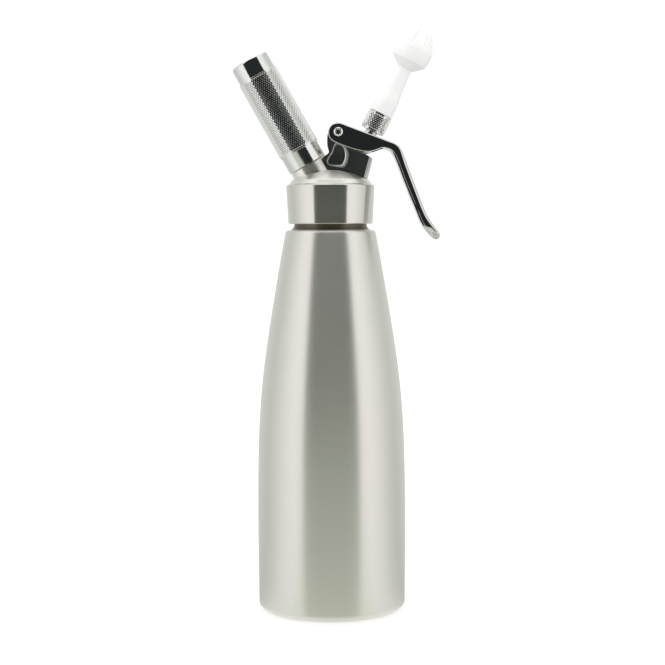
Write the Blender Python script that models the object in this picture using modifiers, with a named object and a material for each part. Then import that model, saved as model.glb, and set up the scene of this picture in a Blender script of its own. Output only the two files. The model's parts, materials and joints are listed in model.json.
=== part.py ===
"""Whipped cream dispenser: steel bottle, screwed head, squeeze lever, gas charger holder and tulip tip.

The origin is the middle of the bottle's base, +Z is up, +X is the side that the lever and tip lean to.
Lengths are in metres and angles in degrees.
"""

import math

import bmesh
import bpy
from mathutils import Matrix, Vector

# Shared fits
CLEARANCE = 0.0003
OVERRUN = 0.0030
MERGE = 0.00001
ROUND_STEPS = 36
GRIP_STEPS = 30
SMALL_ROUND_STEPS = 20
PORT_STEPS = 8
O_RING_STEPS = 6
SOCKET_SIDES = 6

# Bottle
BOTTLE_SHOULDER_HEIGHT = 0.2476
BOTTLE_RADIUS = 0.0482
BOTTLE_WALL = 0.0010
BOTTLE_BODY_SHARES = (
    (0.992, 0.612), (0.900, 0.699), (0.800, 0.787), (0.700, 0.867), (0.620, 0.921), (0.550, 0.956),
    (0.480, 0.978), (0.400, 0.993), (0.300, 1.000), (0.150, 0.998),
)
BODY_STEPS = 1
SHOULDER_ROUND = 0.0022
FOOT_ROUND = 0.0050
FOOT_RADIUS_SHARE = 0.991
FOOT_RING_INNER = 0.0340
BASE_GROOVE_INNER = 0.0240
BASE_GROOVE_DEPTH = 0.0012
BASE_GROOVE_SLOPE = 0.0015
NECK_RADIUS = 0.0236
NECK_ROUND = 0.0040
NECK_HEIGHT = 0.0184

# Head gasket and cap
GASKET_THICKNESS = 0.0020
GASKET_WIDTH = 0.0038
SKIRT_GAP = 0.0041
SKIRT_HEIGHT = 0.0254
SKIRT_TOP_RADIUS = 0.0288
SKIRT_FOOT_RADIUS = 0.0275
SKIRT_ROUND = 0.0016
SKIRT_FOOT_CHAMFER = 0.0006
THREAD_ALLOWANCE = 0.0007
DOME_RADIUS = 0.0260
DOME_CROWN_RADIUS = 0.0499
DOME_ROUND = 0.0030
DOME_HEIGHT = 0.0101
DOME_WALL = 0.0100
CAP_CEILING_RADIUS = 0.0192

# Valve axis and what lies along it, measured from its foot on the bottle's axis, below the dome's top
VALVE_TILT = 28.0
VALVE_FOOT_DEPTH = 0.0263
VALVE_BOSS_FACE = 0.0145
VALVE_BOSS_RADIUS = 0.0086
BUSH_GASKET_THICKNESS = 0.0008
BUSH_FLANGE_THICKNESS = 0.0020
BUSH_FLANGE_RADIUS = 0.0080
BUSH_RADIUS = 0.0062
BUSH_TOP = 0.0306
STEM_RADIUS = 0.0040
STEM_BORE = 0.0022
STEM_NECK_RADIUS = 0.0026
STEM_PORT_RADIUS = 0.0034
PORT_BORE = 0.0011
PORT_FLOOR = 0.0016
STEM_SHOULDER_RISE = 0.0078
POPPET_SPIGOT_RADIUS = 0.0019
POPPET_RADIUS = 0.0054
POPPET_THICKNESS = 0.0020
POPPET_SEAL_THICKNESS = 0.0012
O_RING_WIRE = 0.0004
O_RING_RISE = 0.0098
WIPER_RISE = 0.0172
COLLAR_RADIUS = 0.0063
COLLAR_THICKNESS = 0.0020
SPRING_RADIUS = 0.0050
SPRING_WIRE = 0.00045
SPRING_TURNS = 6
SPRING_END_PITCH = 0.0014
SPRING_POINTS_A_TURN = 9

# Valve block
BLOCK_WIDTH = 0.0164
BLOCK_TOP = 0.0423
BLOCK_END_TOP = 0.0092
BLOCK_END_FOOT = 0.0142
BLOCK_END_CROWN = 0.0138
BLOCK_TOP_CHAMFER = 0.0010
BLOCK_FOOT_DEPTH = 0.0220
EAR_RADIUS = 0.0056
EAR_REACH = 0.0185
EAR_BACK_SHARES = ((-0.300, -0.230), (-0.130, -0.580), (0.030, -0.780), (-0.065, -1.000))
EAR_FRONT = 0.0068
EAR_BORE_GAP = 0.0003
WEB_THICKNESS = 0.0080
POCKET_REACH = 0.0230
POCKET_SHARES = (
    (0.080, -0.300), (0.075, -0.420), (0.110, -0.560), (0.085, -0.870), (0.190, -0.945), (0.570, -0.830),
    (0.615, -0.740), (0.605, -0.560), (0.530, -0.390), (0.400, -0.290), (0.240, -0.265),
)
POCKET_ROUND = 0.0016
COLLAR_RECESS = 0.0021
RECESS_GAP = 0.0004

# Lever, measured from its pivot
PIVOT_ARM = 0.0189
PIVOT_RISE = 0.0468
SQUEEZE_ANGLE = 12.0
LEVER_WIDTH = 0.0224
CHEEK_THICKNESS = 0.0027
LEVER_EYE_RADIUS = 0.0066
LEVER_EYE_DROP_SHARE = 0.080
LEVER_REACH = 0.0657
LEVER_DROP = 0.0700
LEVER_TOP_SLOPE = 19.9
LEVER_OUTER_SHARES = (
    (0.552, -0.104), (0.600, -0.135), (0.640, -0.192), (0.684, -0.300), (0.775, -0.527), (0.869, -0.751),
    (0.938, -0.862), (0.988, -0.925),
)
LEVER_TIP_SHARES = ((1.000, -0.950), (0.995, -0.982), (0.975, -0.998), (0.945, -0.990))
LEVER_INNER_SHARES = (
    (0.910, -0.963), (0.825, -0.864), (0.749, -0.696), (0.651, -0.470), (0.583, -0.301), (0.548, -0.226),
    (0.508, -0.171), (0.440, -0.150), (0.370, -0.170), (0.291, -0.186), (0.180, -0.168), (0.060, -0.133),
)
LEVER_EDGE_ROUND = 0.0009
LEVER_PLATE = 0.0026
LEVER_PLATE_START = 0.0069
LEVER_CHANNEL_END = 0.0290
HANDLE_WIDTH = 0.0180
HANDLE_TAPER_TOP = 0.0130
HANDLE_TAPER_DROP = 0.0260
SLOT_MARGIN = 0.0005
SLOT_SWING = 0.0018
NOSE_RADIUS = 0.0020
SLEEVE_RADIUS = 0.0026
SLEEVE_BORE = 0.0018
SCREW_HEAD_RADIUS = 0.0032
SCREW_HEAD_HEIGHT = 0.0013
SCREW_HEAD_PROUD = 0.0003
SCREW_SHANK_RADIUS = 0.0015
SCREW_SHANK_LENGTH = 0.0090
SOCKET_FLATS = 0.0032
SOCKET_DEPTH = 0.0009
SOCKET_CHAMFER = 0.0003

# Charger holder axis and what lies along it, measured from its foot on the bottle's axis
HOLDER_TILT = 29.3
HOLDER_FOOT_DEPTH = 0.0232
HOLDER_SEAT = 0.0300
HOLDER_LOWER_BAND = 0.0108
HOLDER_UPPER_BAND = 0.0114
HOLDER_LOWER_RADIUS = 0.0130
HOLDER_UPPER_RADIUS = 0.0128
HOLDER_GRIP_RADIUS = 0.0136
HOLDER_GRIP_CHAMFER = 0.0004
HOLDER_TOP_ROUND = 0.0014
HOLDER_BORE = 0.00975
HOLDER_CROWN = 0.0018
POST_RADIUS = 0.0123
POST_DEPTH = 0.0200
SPIGOT_RADIUS = 0.00945
SPIGOT_HEIGHT = 0.0085
INLET_BOSS_DEPTH = 0.0160
INLET_BOSS_RADIUS = 0.0065
PIN_HOLDER_RADIUS = 0.0057
PIN_HOLDER_TOP = 0.0070
PIN_HOLDER_DEPTH = 0.0057
PIN_HOLDER_TAIL = 0.0026
PIN_HOLDER_TAIL_LENGTH = 0.0128
PIN_SEAL_THICKNESS = 0.0008
PIN_RADIUS = 0.0014
PIN_BORE = 0.0006
PIN_FOOT = 0.0020
PIN_PIERCE = 0.0034
PIN_POINT = 0.0020
CHARGER_SEAL_THICKNESS = 0.0019
SLEEVE_VALVE_RADIUS = 0.0042
SLEEVE_VALVE_LENGTH = 0.0021
SLEEVE_VALVE_GAP = 0.0006
SLEEVE_RECESS = 0.0007

# Gas charger
CHARGER_LENGTH = 0.0657
CHARGER_RADIUS = 0.0090
CHARGER_NECK_RADIUS = 0.0044
CHARGER_NECK_LENGTH = 0.0075
CHARGER_SHOULDER = 0.0080
CHARGER_WALL = 0.0016
CHARGER_END = 0.0075

# Coupling and tulip tip, measured from the coupling's foot along the valve axis
COUPLING_FOOT = 0.05775
COUPLING_LENGTH = 0.0124
COUPLING_RADIUS = 0.00805
COUPLING_CHAMFER = 0.0004
STEM_THREAD = 0.0083
TIP_SEAL_THICKNESS = 0.0010
TIP_SEAL_RADIUS = 0.0046
NOZZLE_BORE = 0.0030
NIPPLE_RADIUS = 0.0056
NIPPLE_HEIGHT = 0.0063
TIP_LENGTH = 0.0604
TIP_BASE_RADIUS = 0.0077
TIP_NECK_RADIUS = 0.0048
TIP_CROWN_RADIUS = 0.0123
TIP_TAPER_SHARES = ((0.005, 1.00), (0.075, 0.99), (0.180, 0.95), (0.260, 0.83), (0.385, 0.74), (0.485, 0.655))
TIP_NECK_SHARE = 0.545
TIP_CROWN_SHARES = (
    (0.640, 0.925), (0.700, 0.985), (0.782, 1.000), (0.833, 0.930), (0.905, 0.775), (0.965, 0.600),
    (1.000, 0.430),
)
TIP_WALL = 0.0015
PETAL_PAIRS = 4
PETAL_SLOT_DEPTH = 0.0125
PETAL_SLOT_HALF_WIDTH = 0.0012

parts = bpy.data.collections.new("whipped_cream_dispenser")
cutters = bpy.data.collections.new("cutters")


def clear_scene():
    for item in list(bpy.data.objects):
        bpy.data.objects.remove(item, do_unlink=True)
    for collection in (parts, cutters):
        bpy.context.scene.collection.children.link(collection)


def finish_of(name, colour, metallic, roughness):
    material = bpy.data.materials.new(name)
    material.use_nodes = True
    shader = material.node_tree.nodes["Principled BSDF"]
    shader.inputs["Base Color"].default_value = (*colour, 1.0)
    shader.inputs["Metallic"].default_value = metallic
    shader.inputs["Roughness"].default_value = roughness
    return material


def satin_steel(name):
    return finish_of(name, (0.62, 0.61, 0.57), 1.0, 0.34)


def mirror_steel(name):
    return finish_of(name, (0.62, 0.62, 0.60), 1.0, 0.06)


def bright_steel(name):
    return finish_of(name, (0.78, 0.78, 0.76), 1.0, 0.12)


def rubber(name):
    return finish_of(name, (0.05, 0.05, 0.05), 0.0, 0.75)


def put(name, data, material=None, parent=None, cutter=False):
    """Links a new object, as a piece or as a cutter."""
    item = bpy.data.objects.new(name, data)
    (cutters if cutter else parts).objects.link(item)
    if material is not None:
        data.materials.append(material)
    if parent is not None:
        item.parent = parent
    if cutter:
        item.hide_render = True
        item.display_type = "WIRE"
    return item


def tilted_axis(name, height, degrees):
    """An empty on the bottle's axis whose own Z leans towards +X by the angle given."""
    empty = bpy.data.objects.new(name, None)
    parts.objects.link(empty)
    empty.location = (0, 0, height)
    empty.rotation_euler = (0, math.radians(degrees), 0)
    return empty


def turned(name, profile, material=None, parent=None, cutter=False, steps=ROUND_STEPS, closed=False):
    """A profile of (radius, height) points, listed down its outer side, turned about Z."""
    mesh = bpy.data.meshes.new(name)
    shape = bmesh.new()
    points = [shape.verts.new((radius, 0, height)) for radius, height in profile]
    for first, second in zip(points, points[1:]):
        shape.edges.new((first, second))
    if closed:
        shape.edges.new((points[-1], points[0]))
    shape.to_mesh(mesh)
    shape.free()
    item = put(name, mesh, material, parent, cutter)
    screw = item.modifiers.new("Turn", "SCREW")
    screw.angle = math.tau
    screw.steps = steps
    screw.render_steps = steps
    screw.use_merge_vertices = True
    screw.merge_threshold = MERGE
    screw.use_smooth_shade = True
    if cutter:
        item.rotation_euler.z = math.pi / steps
    return item


def ring_profile(inner, outer, bottom, top):
    return [(outer, top), (outer, bottom), (inner, bottom), (inner, top)]


def arc(centre, radius, start, end, steps):
    """Points on an arc, with angles in degrees from the first axis towards the second."""
    turns = (math.radians(start + (end - start) * step / steps) for step in range(steps + 1))
    return [(centre[0] + radius * math.cos(turn), centre[1] + radius * math.sin(turn)) for turn in turns]


def smooth_through(points, steps):
    """A Catmull-Rom curve through the points, with the given number of spans between two of them."""
    chain = [Vector(point) for point in points]
    chain = [2 * chain[0] - chain[1]] + chain + [2 * chain[-1] - chain[-2]]
    curve = []
    for before, start, end, after in zip(chain, chain[1:], chain[2:], chain[3:]):
        for step in range(steps):
            t = step / steps
            cubic = 3 * start - before - 3 * end + after
            square = 2 * before - 5 * start + 4 * end - after
            curve.append(tuple(start + 0.5 * t * (end - before + t * (square + t * cubic))))
    curve.append(tuple(chain[-2]))
    return curve


def plate(name, outline, low, high, material=None, parent=None, cutter=False):
    """A flat outline of (x, z) points with depth along Y, from low to high, as a mesh that can be cut."""
    curve = bpy.data.curves.new(name, "CURVE")
    curve.dimensions = "2D"
    curve.fill_mode = "BOTH"
    curve.extrude = (high - low) / 2
    loop = curve.splines.new("POLY")
    loop.points.add(len(outline) - 1)
    for point, (x, z) in zip(loop.points, outline):
        point.co = (x, z, 0, 1)
    loop.use_cyclic_u = True
    drawn = bpy.data.objects.new(name, curve)
    cutters.objects.link(drawn)
    drawn.rotation_euler = (math.radians(90), 0, 0)
    drawn.location = (0, (low + high) / 2, 0)
    bpy.context.view_layer.update()
    mesh = bpy.data.meshes.new_from_object(drawn.evaluated_get(bpy.context.evaluated_depsgraph_get()))
    mesh.transform(drawn.matrix_world)
    bpy.data.objects.remove(drawn, do_unlink=True)
    shape = bmesh.new()
    shape.from_mesh(mesh)
    bmesh.ops.remove_doubles(shape, verts=shape.verts, dist=MERGE)
    bmesh.ops.recalc_face_normals(shape, faces=shape.faces)
    shape.to_mesh(mesh)
    shape.free()
    mesh.name = name
    return put(name, mesh, material, parent, cutter)


def rod_cutter(name, radius, bottom, top, parent, steps=SMALL_ROUND_STEPS):
    """A plain cylinder along the parent's Z axis, used to cut or join."""
    mesh = bpy.data.meshes.new(name)
    shape = bmesh.new()
    bmesh.ops.create_cone(
        shape, cap_ends=True, segments=steps, radius1=radius, radius2=radius, depth=top - bottom,
        matrix=Matrix.Translation((0, 0, (bottom + top) / 2)),
    )
    shape.to_mesh(mesh)
    shape.free()
    rod = put(name, mesh, parent=parent, cutter=True)
    rod.rotation_euler.z = math.pi / steps
    return rod


def shares_of(table, first, second):
    return [(first * one, second * two) for one, two in table]


def modify(item, tool, operation):
    change = item.modifiers.new(tool.name, "BOOLEAN")
    change.operation = operation
    change.object = tool


def cut(item, tool):
    modify(item, tool, "DIFFERENCE")


def join(item, tool):
    modify(item, tool, "UNION")


def keep_common(item, tool):
    modify(item, tool, "INTERSECT")


def round_edges(item, width, segments, angle=40.0):
    bevel = item.modifiers.new("Rounded edges", "BEVEL")
    bevel.width = width
    bevel.segments = segments
    bevel.limit_method = "ANGLE"
    bevel.angle_limit = math.radians(angle)
    bevel.use_clamp_overlap = False


def shell(item, wall):
    solidify = item.modifiers.new("Wall", "SOLIDIFY")
    solidify.thickness = wall
    solidify.offset = -1
    solidify.use_even_offset = True


# Levels along the bottle's axis
neck_top = BOTTLE_SHOULDER_HEIGHT + NECK_HEIGHT
skirt_foot = BOTTLE_SHOULDER_HEIGHT + SKIRT_GAP
skirt_top = skirt_foot + SKIRT_HEIGHT
dome_top = skirt_top + DOME_HEIGHT
gasket_foot = neck_top + CLEARANCE
gasket_top = gasket_foot + GASKET_THICKNESS
gasket_seat = gasket_top + CLEARANCE
cap_ceiling = dome_top - DOME_WALL

# Levels along the valve axis
valve_foot = dome_top - VALVE_FOOT_DEPTH
bush_gasket_top = VALVE_BOSS_FACE - CLEARANCE
bush_flange_top = bush_gasket_top - BUSH_GASKET_THICKNESS - CLEARANCE
valve_seat = bush_flange_top - BUSH_FLANGE_THICKNESS
poppet_seal_top = valve_seat - CLEARANCE
poppet_top = poppet_seal_top - POPPET_SEAL_THICKNESS - CLEARANCE
poppet_foot = poppet_top - POPPET_THICKNESS
squeeze_half = math.radians(SQUEEZE_ANGLE / 2)
nose_rise = PIVOT_RISE + PIVOT_ARM * math.sin(squeeze_half)
nose_place = PIVOT_ARM * (math.cos(squeeze_half) - 1)
stem_travel = 2 * PIVOT_ARM * math.sin(squeeze_half)
collar_top = nose_rise - NOSE_RADIUS - CLEARANCE
collar_foot = collar_top - COLLAR_THICKNESS
stem_top = COUPLING_FOOT + STEM_THREAD
bush_bore = STEM_RADIUS + CLEARANCE
coupling_top = COUPLING_FOOT + COUPLING_LENGTH
nipple_top = coupling_top + NIPPLE_HEIGHT
inner_cheek = LEVER_WIDTH / 2 - CHEEK_THICKNESS

# Levels along the charger holder's axis
holder_foot = dome_top - HOLDER_FOOT_DEPTH
inlet_boss_face = HOLDER_SEAT - INLET_BOSS_DEPTH
sleeve_seat = inlet_boss_face + SLEEVE_RECESS
pin_holder_foot = HOLDER_SEAT - PIN_HOLDER_DEPTH
pin_seal_top = pin_holder_foot - CLEARANCE
pin_ledge = pin_seal_top - PIN_SEAL_THICKNESS - CLEARANCE
pin_holder_top = HOLDER_SEAT + PIN_HOLDER_TOP
charger_seal_foot = pin_holder_top + CLEARANCE
charger_seal_top = charger_seal_foot + CHARGER_SEAL_THICKNESS
charger_foot = charger_seal_top + CLEARANCE
charger_top = charger_foot + CHARGER_LENGTH
holder_ceiling = charger_top + CLEARANCE
holder_top = holder_ceiling + HOLDER_CROWN
pin_bore = PIN_RADIUS + CLEARANCE
spigot_bore = PIN_HOLDER_RADIUS + CLEARANCE
tail_bore = PIN_HOLDER_TAIL + CLEARANCE


def bottle_profile():
    """The outer skin, from the neck's rim down to the middle of the base."""
    foot_radius = FOOT_RADIUS_SHARE * BOTTLE_RADIUS
    body = smooth_through(
        [(BOTTLE_RADIUS * wide, BOTTLE_SHOULDER_HEIGHT * high) for high, wide in BOTTLE_BODY_SHARES],
        BODY_STEPS,
    )
    shoulder_radius = body[0][0] - SHOULDER_ROUND
    neck = [(NECK_RADIUS, neck_top)]
    neck += arc((NECK_RADIUS + NECK_ROUND, BOTTLE_SHOULDER_HEIGHT + NECK_ROUND), NECK_ROUND, 180, 270, 3)
    shoulder = arc(
        (shoulder_radius, BOTTLE_SHOULDER_HEIGHT - SHOULDER_ROUND), SHOULDER_ROUND, 90, 18, 2
    )
    foot = arc((foot_radius - FOOT_ROUND, FOOT_ROUND), FOOT_ROUND, 0, -90, 3)
    base = [
        (FOOT_RING_INNER, 0),
        (FOOT_RING_INNER - BASE_GROOVE_SLOPE, BASE_GROOVE_DEPTH),
        (BASE_GROOVE_INNER + BASE_GROOVE_SLOPE, BASE_GROOVE_DEPTH),
        (BASE_GROOVE_INNER, 0),
        (0, 0),
    ]
    return neck + shoulder + body[1:] + foot + base


def dome_profile(grow):
    """The head's dome from its top down to its foot on the skirt, grown outwards by the amount given."""
    crown_centre = dome_top - DOME_CROWN_RADIUS
    round_place = DOME_RADIUS - DOME_ROUND
    round_height = crown_centre + math.sqrt((DOME_CROWN_RADIUS - DOME_ROUND) ** 2 - round_place**2)
    meeting = math.degrees(math.atan2(round_height - crown_centre, round_place))
    crown = arc((0, crown_centre), DOME_CROWN_RADIUS + grow, 90, meeting, 4)
    corner = arc((round_place, round_height), DOME_ROUND + grow, meeting, 0, 3)
    return [(0, crown[0][1])] + crown[1:] + corner[1:]


def make_bottle():
    bottle = turned("bottle", bottle_profile(), satin_steel("bottle_steel"))
    shell(bottle, BOTTLE_WALL)


def make_gasket():
    outer = NECK_RADIUS + CLEARANCE
    inner = outer - GASKET_WIDTH
    profile = ring_profile(inner, outer, gasket_foot, gasket_top)
    turned("head_gasket", profile, rubber("gasket_rubber"), closed=True)


def make_cap(valve_axis, holder_axis):
    """Skirt, dome, charger post and threaded spigot in one piece, hollow below."""
    skirt_bore = NECK_RADIUS + THREAD_ALLOWANCE
    dome = dome_profile(0)
    skirt = [(dome[-1][0], skirt_top)]
    skirt += arc(
        (SKIRT_TOP_RADIUS - SKIRT_ROUND, skirt_top - SKIRT_ROUND), SKIRT_ROUND, 90, 0, 3
    )
    skirt += [
        (SKIRT_FOOT_RADIUS, skirt_foot + SKIRT_FOOT_CHAMFER),
        (SKIRT_FOOT_RADIUS - SKIRT_FOOT_CHAMFER, skirt_foot),
        (0, skirt_foot),
    ]
    cap = turned("head_cap", dome + skirt, satin_steel("head_steel"))

    post_foot = HOLDER_SEAT - POST_DEPTH
    post_top = HOLDER_SEAT - CLEARANCE
    post = turned(
        "post_form",
        [(0, HOLDER_SEAT + SPIGOT_HEIGHT), (SPIGOT_RADIUS, HOLDER_SEAT + SPIGOT_HEIGHT),
         (SPIGOT_RADIUS, post_top), (POST_RADIUS, post_top), (POST_RADIUS, post_foot), (0, post_foot)],
        parent=holder_axis, cutter=True,
    )
    join(cap, post)

    hollow = turned(
        "cap_hollow",
        [(0, cap_ceiling), (CAP_CEILING_RADIUS, cap_ceiling), (CAP_CEILING_RADIUS, gasket_seat),
         (skirt_bore, gasket_seat), (skirt_bore, skirt_foot - OVERRUN), (0, skirt_foot - OVERRUN)],
        cutter=True,
    )
    cut(hollow, rod_cutter("valve_boss", VALVE_BOSS_RADIUS, VALVE_BOSS_FACE, BUSH_TOP, valve_axis))
    cut(hollow, rod_cutter("inlet_boss", INLET_BOSS_RADIUS, inlet_boss_face, HOLDER_SEAT, holder_axis))
    cut(cap, hollow)

    valve_bore = rod_cutter("valve_bore", BUSH_RADIUS + CLEARANCE, 0, BUSH_TOP + OVERRUN, valve_axis)
    spigot_end = HOLDER_SEAT + SPIGOT_HEIGHT + OVERRUN
    recess = SLEEVE_VALVE_RADIUS + SLEEVE_VALVE_GAP
    inlet_bore = turned(
        "inlet_bore",
        [(0, spigot_end), (spigot_bore, spigot_end), (spigot_bore, pin_ledge), (tail_bore, pin_ledge),
         (tail_bore, sleeve_seat), (recess, sleeve_seat), (recess, inlet_boss_face - OVERRUN),
         (0, inlet_boss_face - OVERRUN)],
        parent=holder_axis, cutter=True, steps=SMALL_ROUND_STEPS,
    )
    cut(cap, valve_bore)
    cut(cap, inlet_bore)


def block_outline():
    """Side view of the valve block: its ear round the pivot, its back edge, foot, front end and top."""
    pivot = (-PIVOT_ARM, PIVOT_RISE)
    back = shares_of(EAR_BACK_SHARES, EAR_REACH, EAR_REACH)
    back = [(pivot[0] + across, pivot[1] + along) for across, along in back]
    foot = BLOCK_TOP - BLOCK_FOOT_DEPTH
    ear = arc(pivot, EAR_RADIUS, 0, 165, 8)
    neck = [(pivot[0] + EAR_RADIUS, pivot[1]), (pivot[0] + EAR_FRONT, BLOCK_TOP)]
    front = [
        (BLOCK_END_FOOT, foot),
        (BLOCK_END_TOP, BLOCK_TOP - BLOCK_TOP_CHAMFER),
        (BLOCK_END_TOP - BLOCK_TOP_CHAMFER, BLOCK_TOP),
    ]
    return ear + back + [(back[-1][0], foot)] + front + neck[1:]


def make_block(valve_axis, holder_axis):
    """The polished block on the dome that holds the valve and the lever's pivot."""
    block = plate(
        "valve_block", block_outline(), -BLOCK_WIDTH / 2, BLOCK_WIDTH / 2,
        mirror_steel("block_steel"), valve_axis,
    )
    deep = BLOCK_WIDTH / 2 + OVERRUN
    plan = turned(
        "block_plan",
        [(0, BLOCK_TOP), (BLOCK_END_CROWN, BLOCK_TOP), (BLOCK_END_CROWN + BLOCK_END_FOOT - BLOCK_END_TOP,
         BLOCK_TOP - BLOCK_FOOT_DEPTH), (0, BLOCK_TOP - BLOCK_FOOT_DEPTH)],
        parent=valve_axis, cutter=True,
    )
    plan.location = (BLOCK_END_TOP - BLOCK_END_CROWN, 0, 0)
    behind = plate(
        "block_behind",
        [(-EAR_REACH - PIVOT_ARM, 0), (BLOCK_END_TOP - BLOCK_END_CROWN, 0),
         (BLOCK_END_TOP - BLOCK_END_CROWN, COUPLING_FOOT), (-EAR_REACH - PIVOT_ARM, COUPLING_FOOT)],
        -deep, deep, parent=valve_axis, cutter=True,
    )
    join(behind, plan)
    keep_common(block, behind)

    seat = dome_profile(CLEARANCE)
    seat += [(seat[-1][0], skirt_foot), (0, skirt_foot)]
    cut(block, turned("block_seat", seat, cutter=True))
    post_gap = POST_RADIUS + CLEARANCE
    sweep = HOLDER_GRIP_RADIUS + CLEARANCE
    clear_post = turned(
        "post_clearance",
        [(0, holder_top), (sweep, holder_top), (sweep, HOLDER_SEAT - 2 * CLEARANCE),
         (post_gap, HOLDER_SEAT - 2 * CLEARANCE), (post_gap, 0), (0, 0)],
        parent=holder_axis, cutter=True,
    )
    cut(block, clear_post)

    pocket = shares_of(POCKET_SHARES, POCKET_REACH, POCKET_REACH)
    pocket = [(across - PIVOT_ARM, along + PIVOT_RISE) for across, along in pocket]
    for name, low, high in (
        ("front_pocket", -deep, -WEB_THICKNESS / 2),
        ("rear_pocket", WEB_THICKNESS / 2, deep),
    ):
        tool = plate(name, pocket, low, high, parent=valve_axis, cutter=True)
        round_edges(tool, POCKET_ROUND, 2, 60.0)
        cut(block, tool)

    pocket_radius = SPRING_RADIUS + SPRING_WIRE + RECESS_GAP
    recess_radius = COLLAR_RADIUS + RECESS_GAP
    recess_floor = BLOCK_TOP - COLLAR_RECESS
    bush_end = BUSH_TOP + CLEARANCE
    bush_hole = BUSH_RADIUS + CLEARANCE
    bore = turned(
        "block_bore",
        [(0, BLOCK_TOP + OVERRUN), (recess_radius, BLOCK_TOP + OVERRUN), (recess_radius, recess_floor),
         (pocket_radius, recess_floor), (pocket_radius, bush_end), (bush_hole, bush_end), (bush_hole, 0),
         (0, 0)],
        parent=valve_axis, cutter=True, steps=SMALL_ROUND_STEPS,
    )
    cut(block, bore)
    pivot_bore = rod_cutter("ear_bore", SLEEVE_RADIUS + EAR_BORE_GAP, -deep, deep, valve_axis)
    pivot_bore.location = (-PIVOT_ARM, 0, PIVOT_RISE)
    pivot_bore.rotation_euler = (math.radians(90), 0, 0)
    cut(block, pivot_bore)


def make_bush(valve_axis):
    """The threaded guide that clamps the block to the dome; its flange is the valve's seat."""
    profile = [
        (BUSH_RADIUS, BUSH_TOP), (BUSH_RADIUS, bush_flange_top), (BUSH_FLANGE_RADIUS, bush_flange_top),
        (BUSH_FLANGE_RADIUS, valve_seat), (bush_bore, valve_seat), (bush_bore, BUSH_TOP),
    ]
    turned(
        "valve_bush", profile, bright_steel("bush_steel"), valve_axis, steps=SMALL_ROUND_STEPS, closed=True,
    )
    gasket = ring_profile(
        BUSH_RADIUS + CLEARANCE, BUSH_FLANGE_RADIUS, bush_gasket_top - BUSH_GASKET_THICKNESS, bush_gasket_top
    )
    turned("bush_gasket", gasket, rubber("bush_rubber"), valve_axis, steps=SMALL_ROUND_STEPS, closed=True)


def groove(middle):
    """The stem's outline round an O-ring, listed downwards."""
    half = O_RING_WIRE + CLEARANCE
    floor = STEM_RADIUS - 2 * O_RING_WIRE - CLEARANCE
    return [
        (STEM_RADIUS, middle + half), (floor, middle + half), (floor, middle - half),
        (STEM_RADIUS, middle - half),
    ]


def make_stem(valve_axis):
    """The hollow stem: collar, two grooves, side ports and the spigot that carries the poppet."""
    shoulder = valve_seat + STEM_SHOULDER_RISE
    port_foot = valve_seat + STEM_SHOULDER_RISE - 2 * PORT_BORE - 2 * CLEARANCE
    bore_floor = port_foot - CLEARANCE
    neck_top_level = bore_floor - PORT_FLOOR
    profile = [
        (0, bore_floor), (STEM_BORE, bore_floor), (STEM_BORE, stem_top), (STEM_RADIUS, stem_top),
        (STEM_RADIUS, collar_top), (COLLAR_RADIUS, collar_top), (COLLAR_RADIUS, collar_foot),
        (STEM_RADIUS, collar_foot),
    ]
    profile += groove(valve_seat + WIPER_RISE) + groove(valve_seat + O_RING_RISE)
    profile += [
        (STEM_RADIUS, shoulder), (STEM_PORT_RADIUS, shoulder), (STEM_PORT_RADIUS, neck_top_level),
        (STEM_NECK_RADIUS, neck_top_level), (STEM_NECK_RADIUS, poppet_top + CLEARANCE),
        (POPPET_SPIGOT_RADIUS, poppet_top + CLEARANCE), (POPPET_SPIGOT_RADIUS, poppet_foot), (0, poppet_foot),
    ]
    stem = turned("valve_stem", profile, bright_steel("stem_steel"), valve_axis, steps=SMALL_ROUND_STEPS)
    ports = rod_cutter("stem_ports", PORT_BORE, -2 * STEM_RADIUS, 2 * STEM_RADIUS, valve_axis, PORT_STEPS)
    ports.location = (0, 0, port_foot + PORT_BORE + CLEARANCE)
    ports.rotation_euler = (math.radians(90), 0, 0)
    cut(stem, ports)


def o_ring(name, height, parent):
    bpy.ops.mesh.primitive_torus_add(
        major_radius=STEM_RADIUS - O_RING_WIRE, minor_radius=O_RING_WIRE,
        major_segments=SMALL_ROUND_STEPS, minor_segments=O_RING_STEPS,
    )
    ring = bpy.context.object
    for collection in list(ring.users_collection):
        collection.objects.unlink(ring)
    parts.objects.link(ring)
    ring.name = name
    ring.data.name = name
    ring.data.materials.append(rubber(name + "_rubber"))
    ring.parent = parent
    ring.location = (0, 0, height)
    ring.data.shade_smooth()


def make_stem_fittings(valve_axis):
    """O-rings, poppet and its seal, all of which travel with the stem."""
    o_ring("stem_o_ring", valve_seat + O_RING_RISE, valve_axis)
    o_ring("stem_wiper", valve_seat + WIPER_RISE, valve_axis)
    seal = ring_profile(
        STEM_NECK_RADIUS + CLEARANCE, POPPET_RADIUS, poppet_seal_top - POPPET_SEAL_THICKNESS, poppet_seal_top
    )
    turned("poppet_seal", seal, rubber("poppet_rubber"), valve_axis, steps=SMALL_ROUND_STEPS, closed=True)
    poppet = ring_profile(POPPET_SPIGOT_RADIUS + CLEARANCE, POPPET_RADIUS, poppet_foot, poppet_top)
    turned(
        "valve_poppet", poppet, bright_steel("poppet_steel"), valve_axis,
        steps=SMALL_ROUND_STEPS, closed=True,
    )


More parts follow.
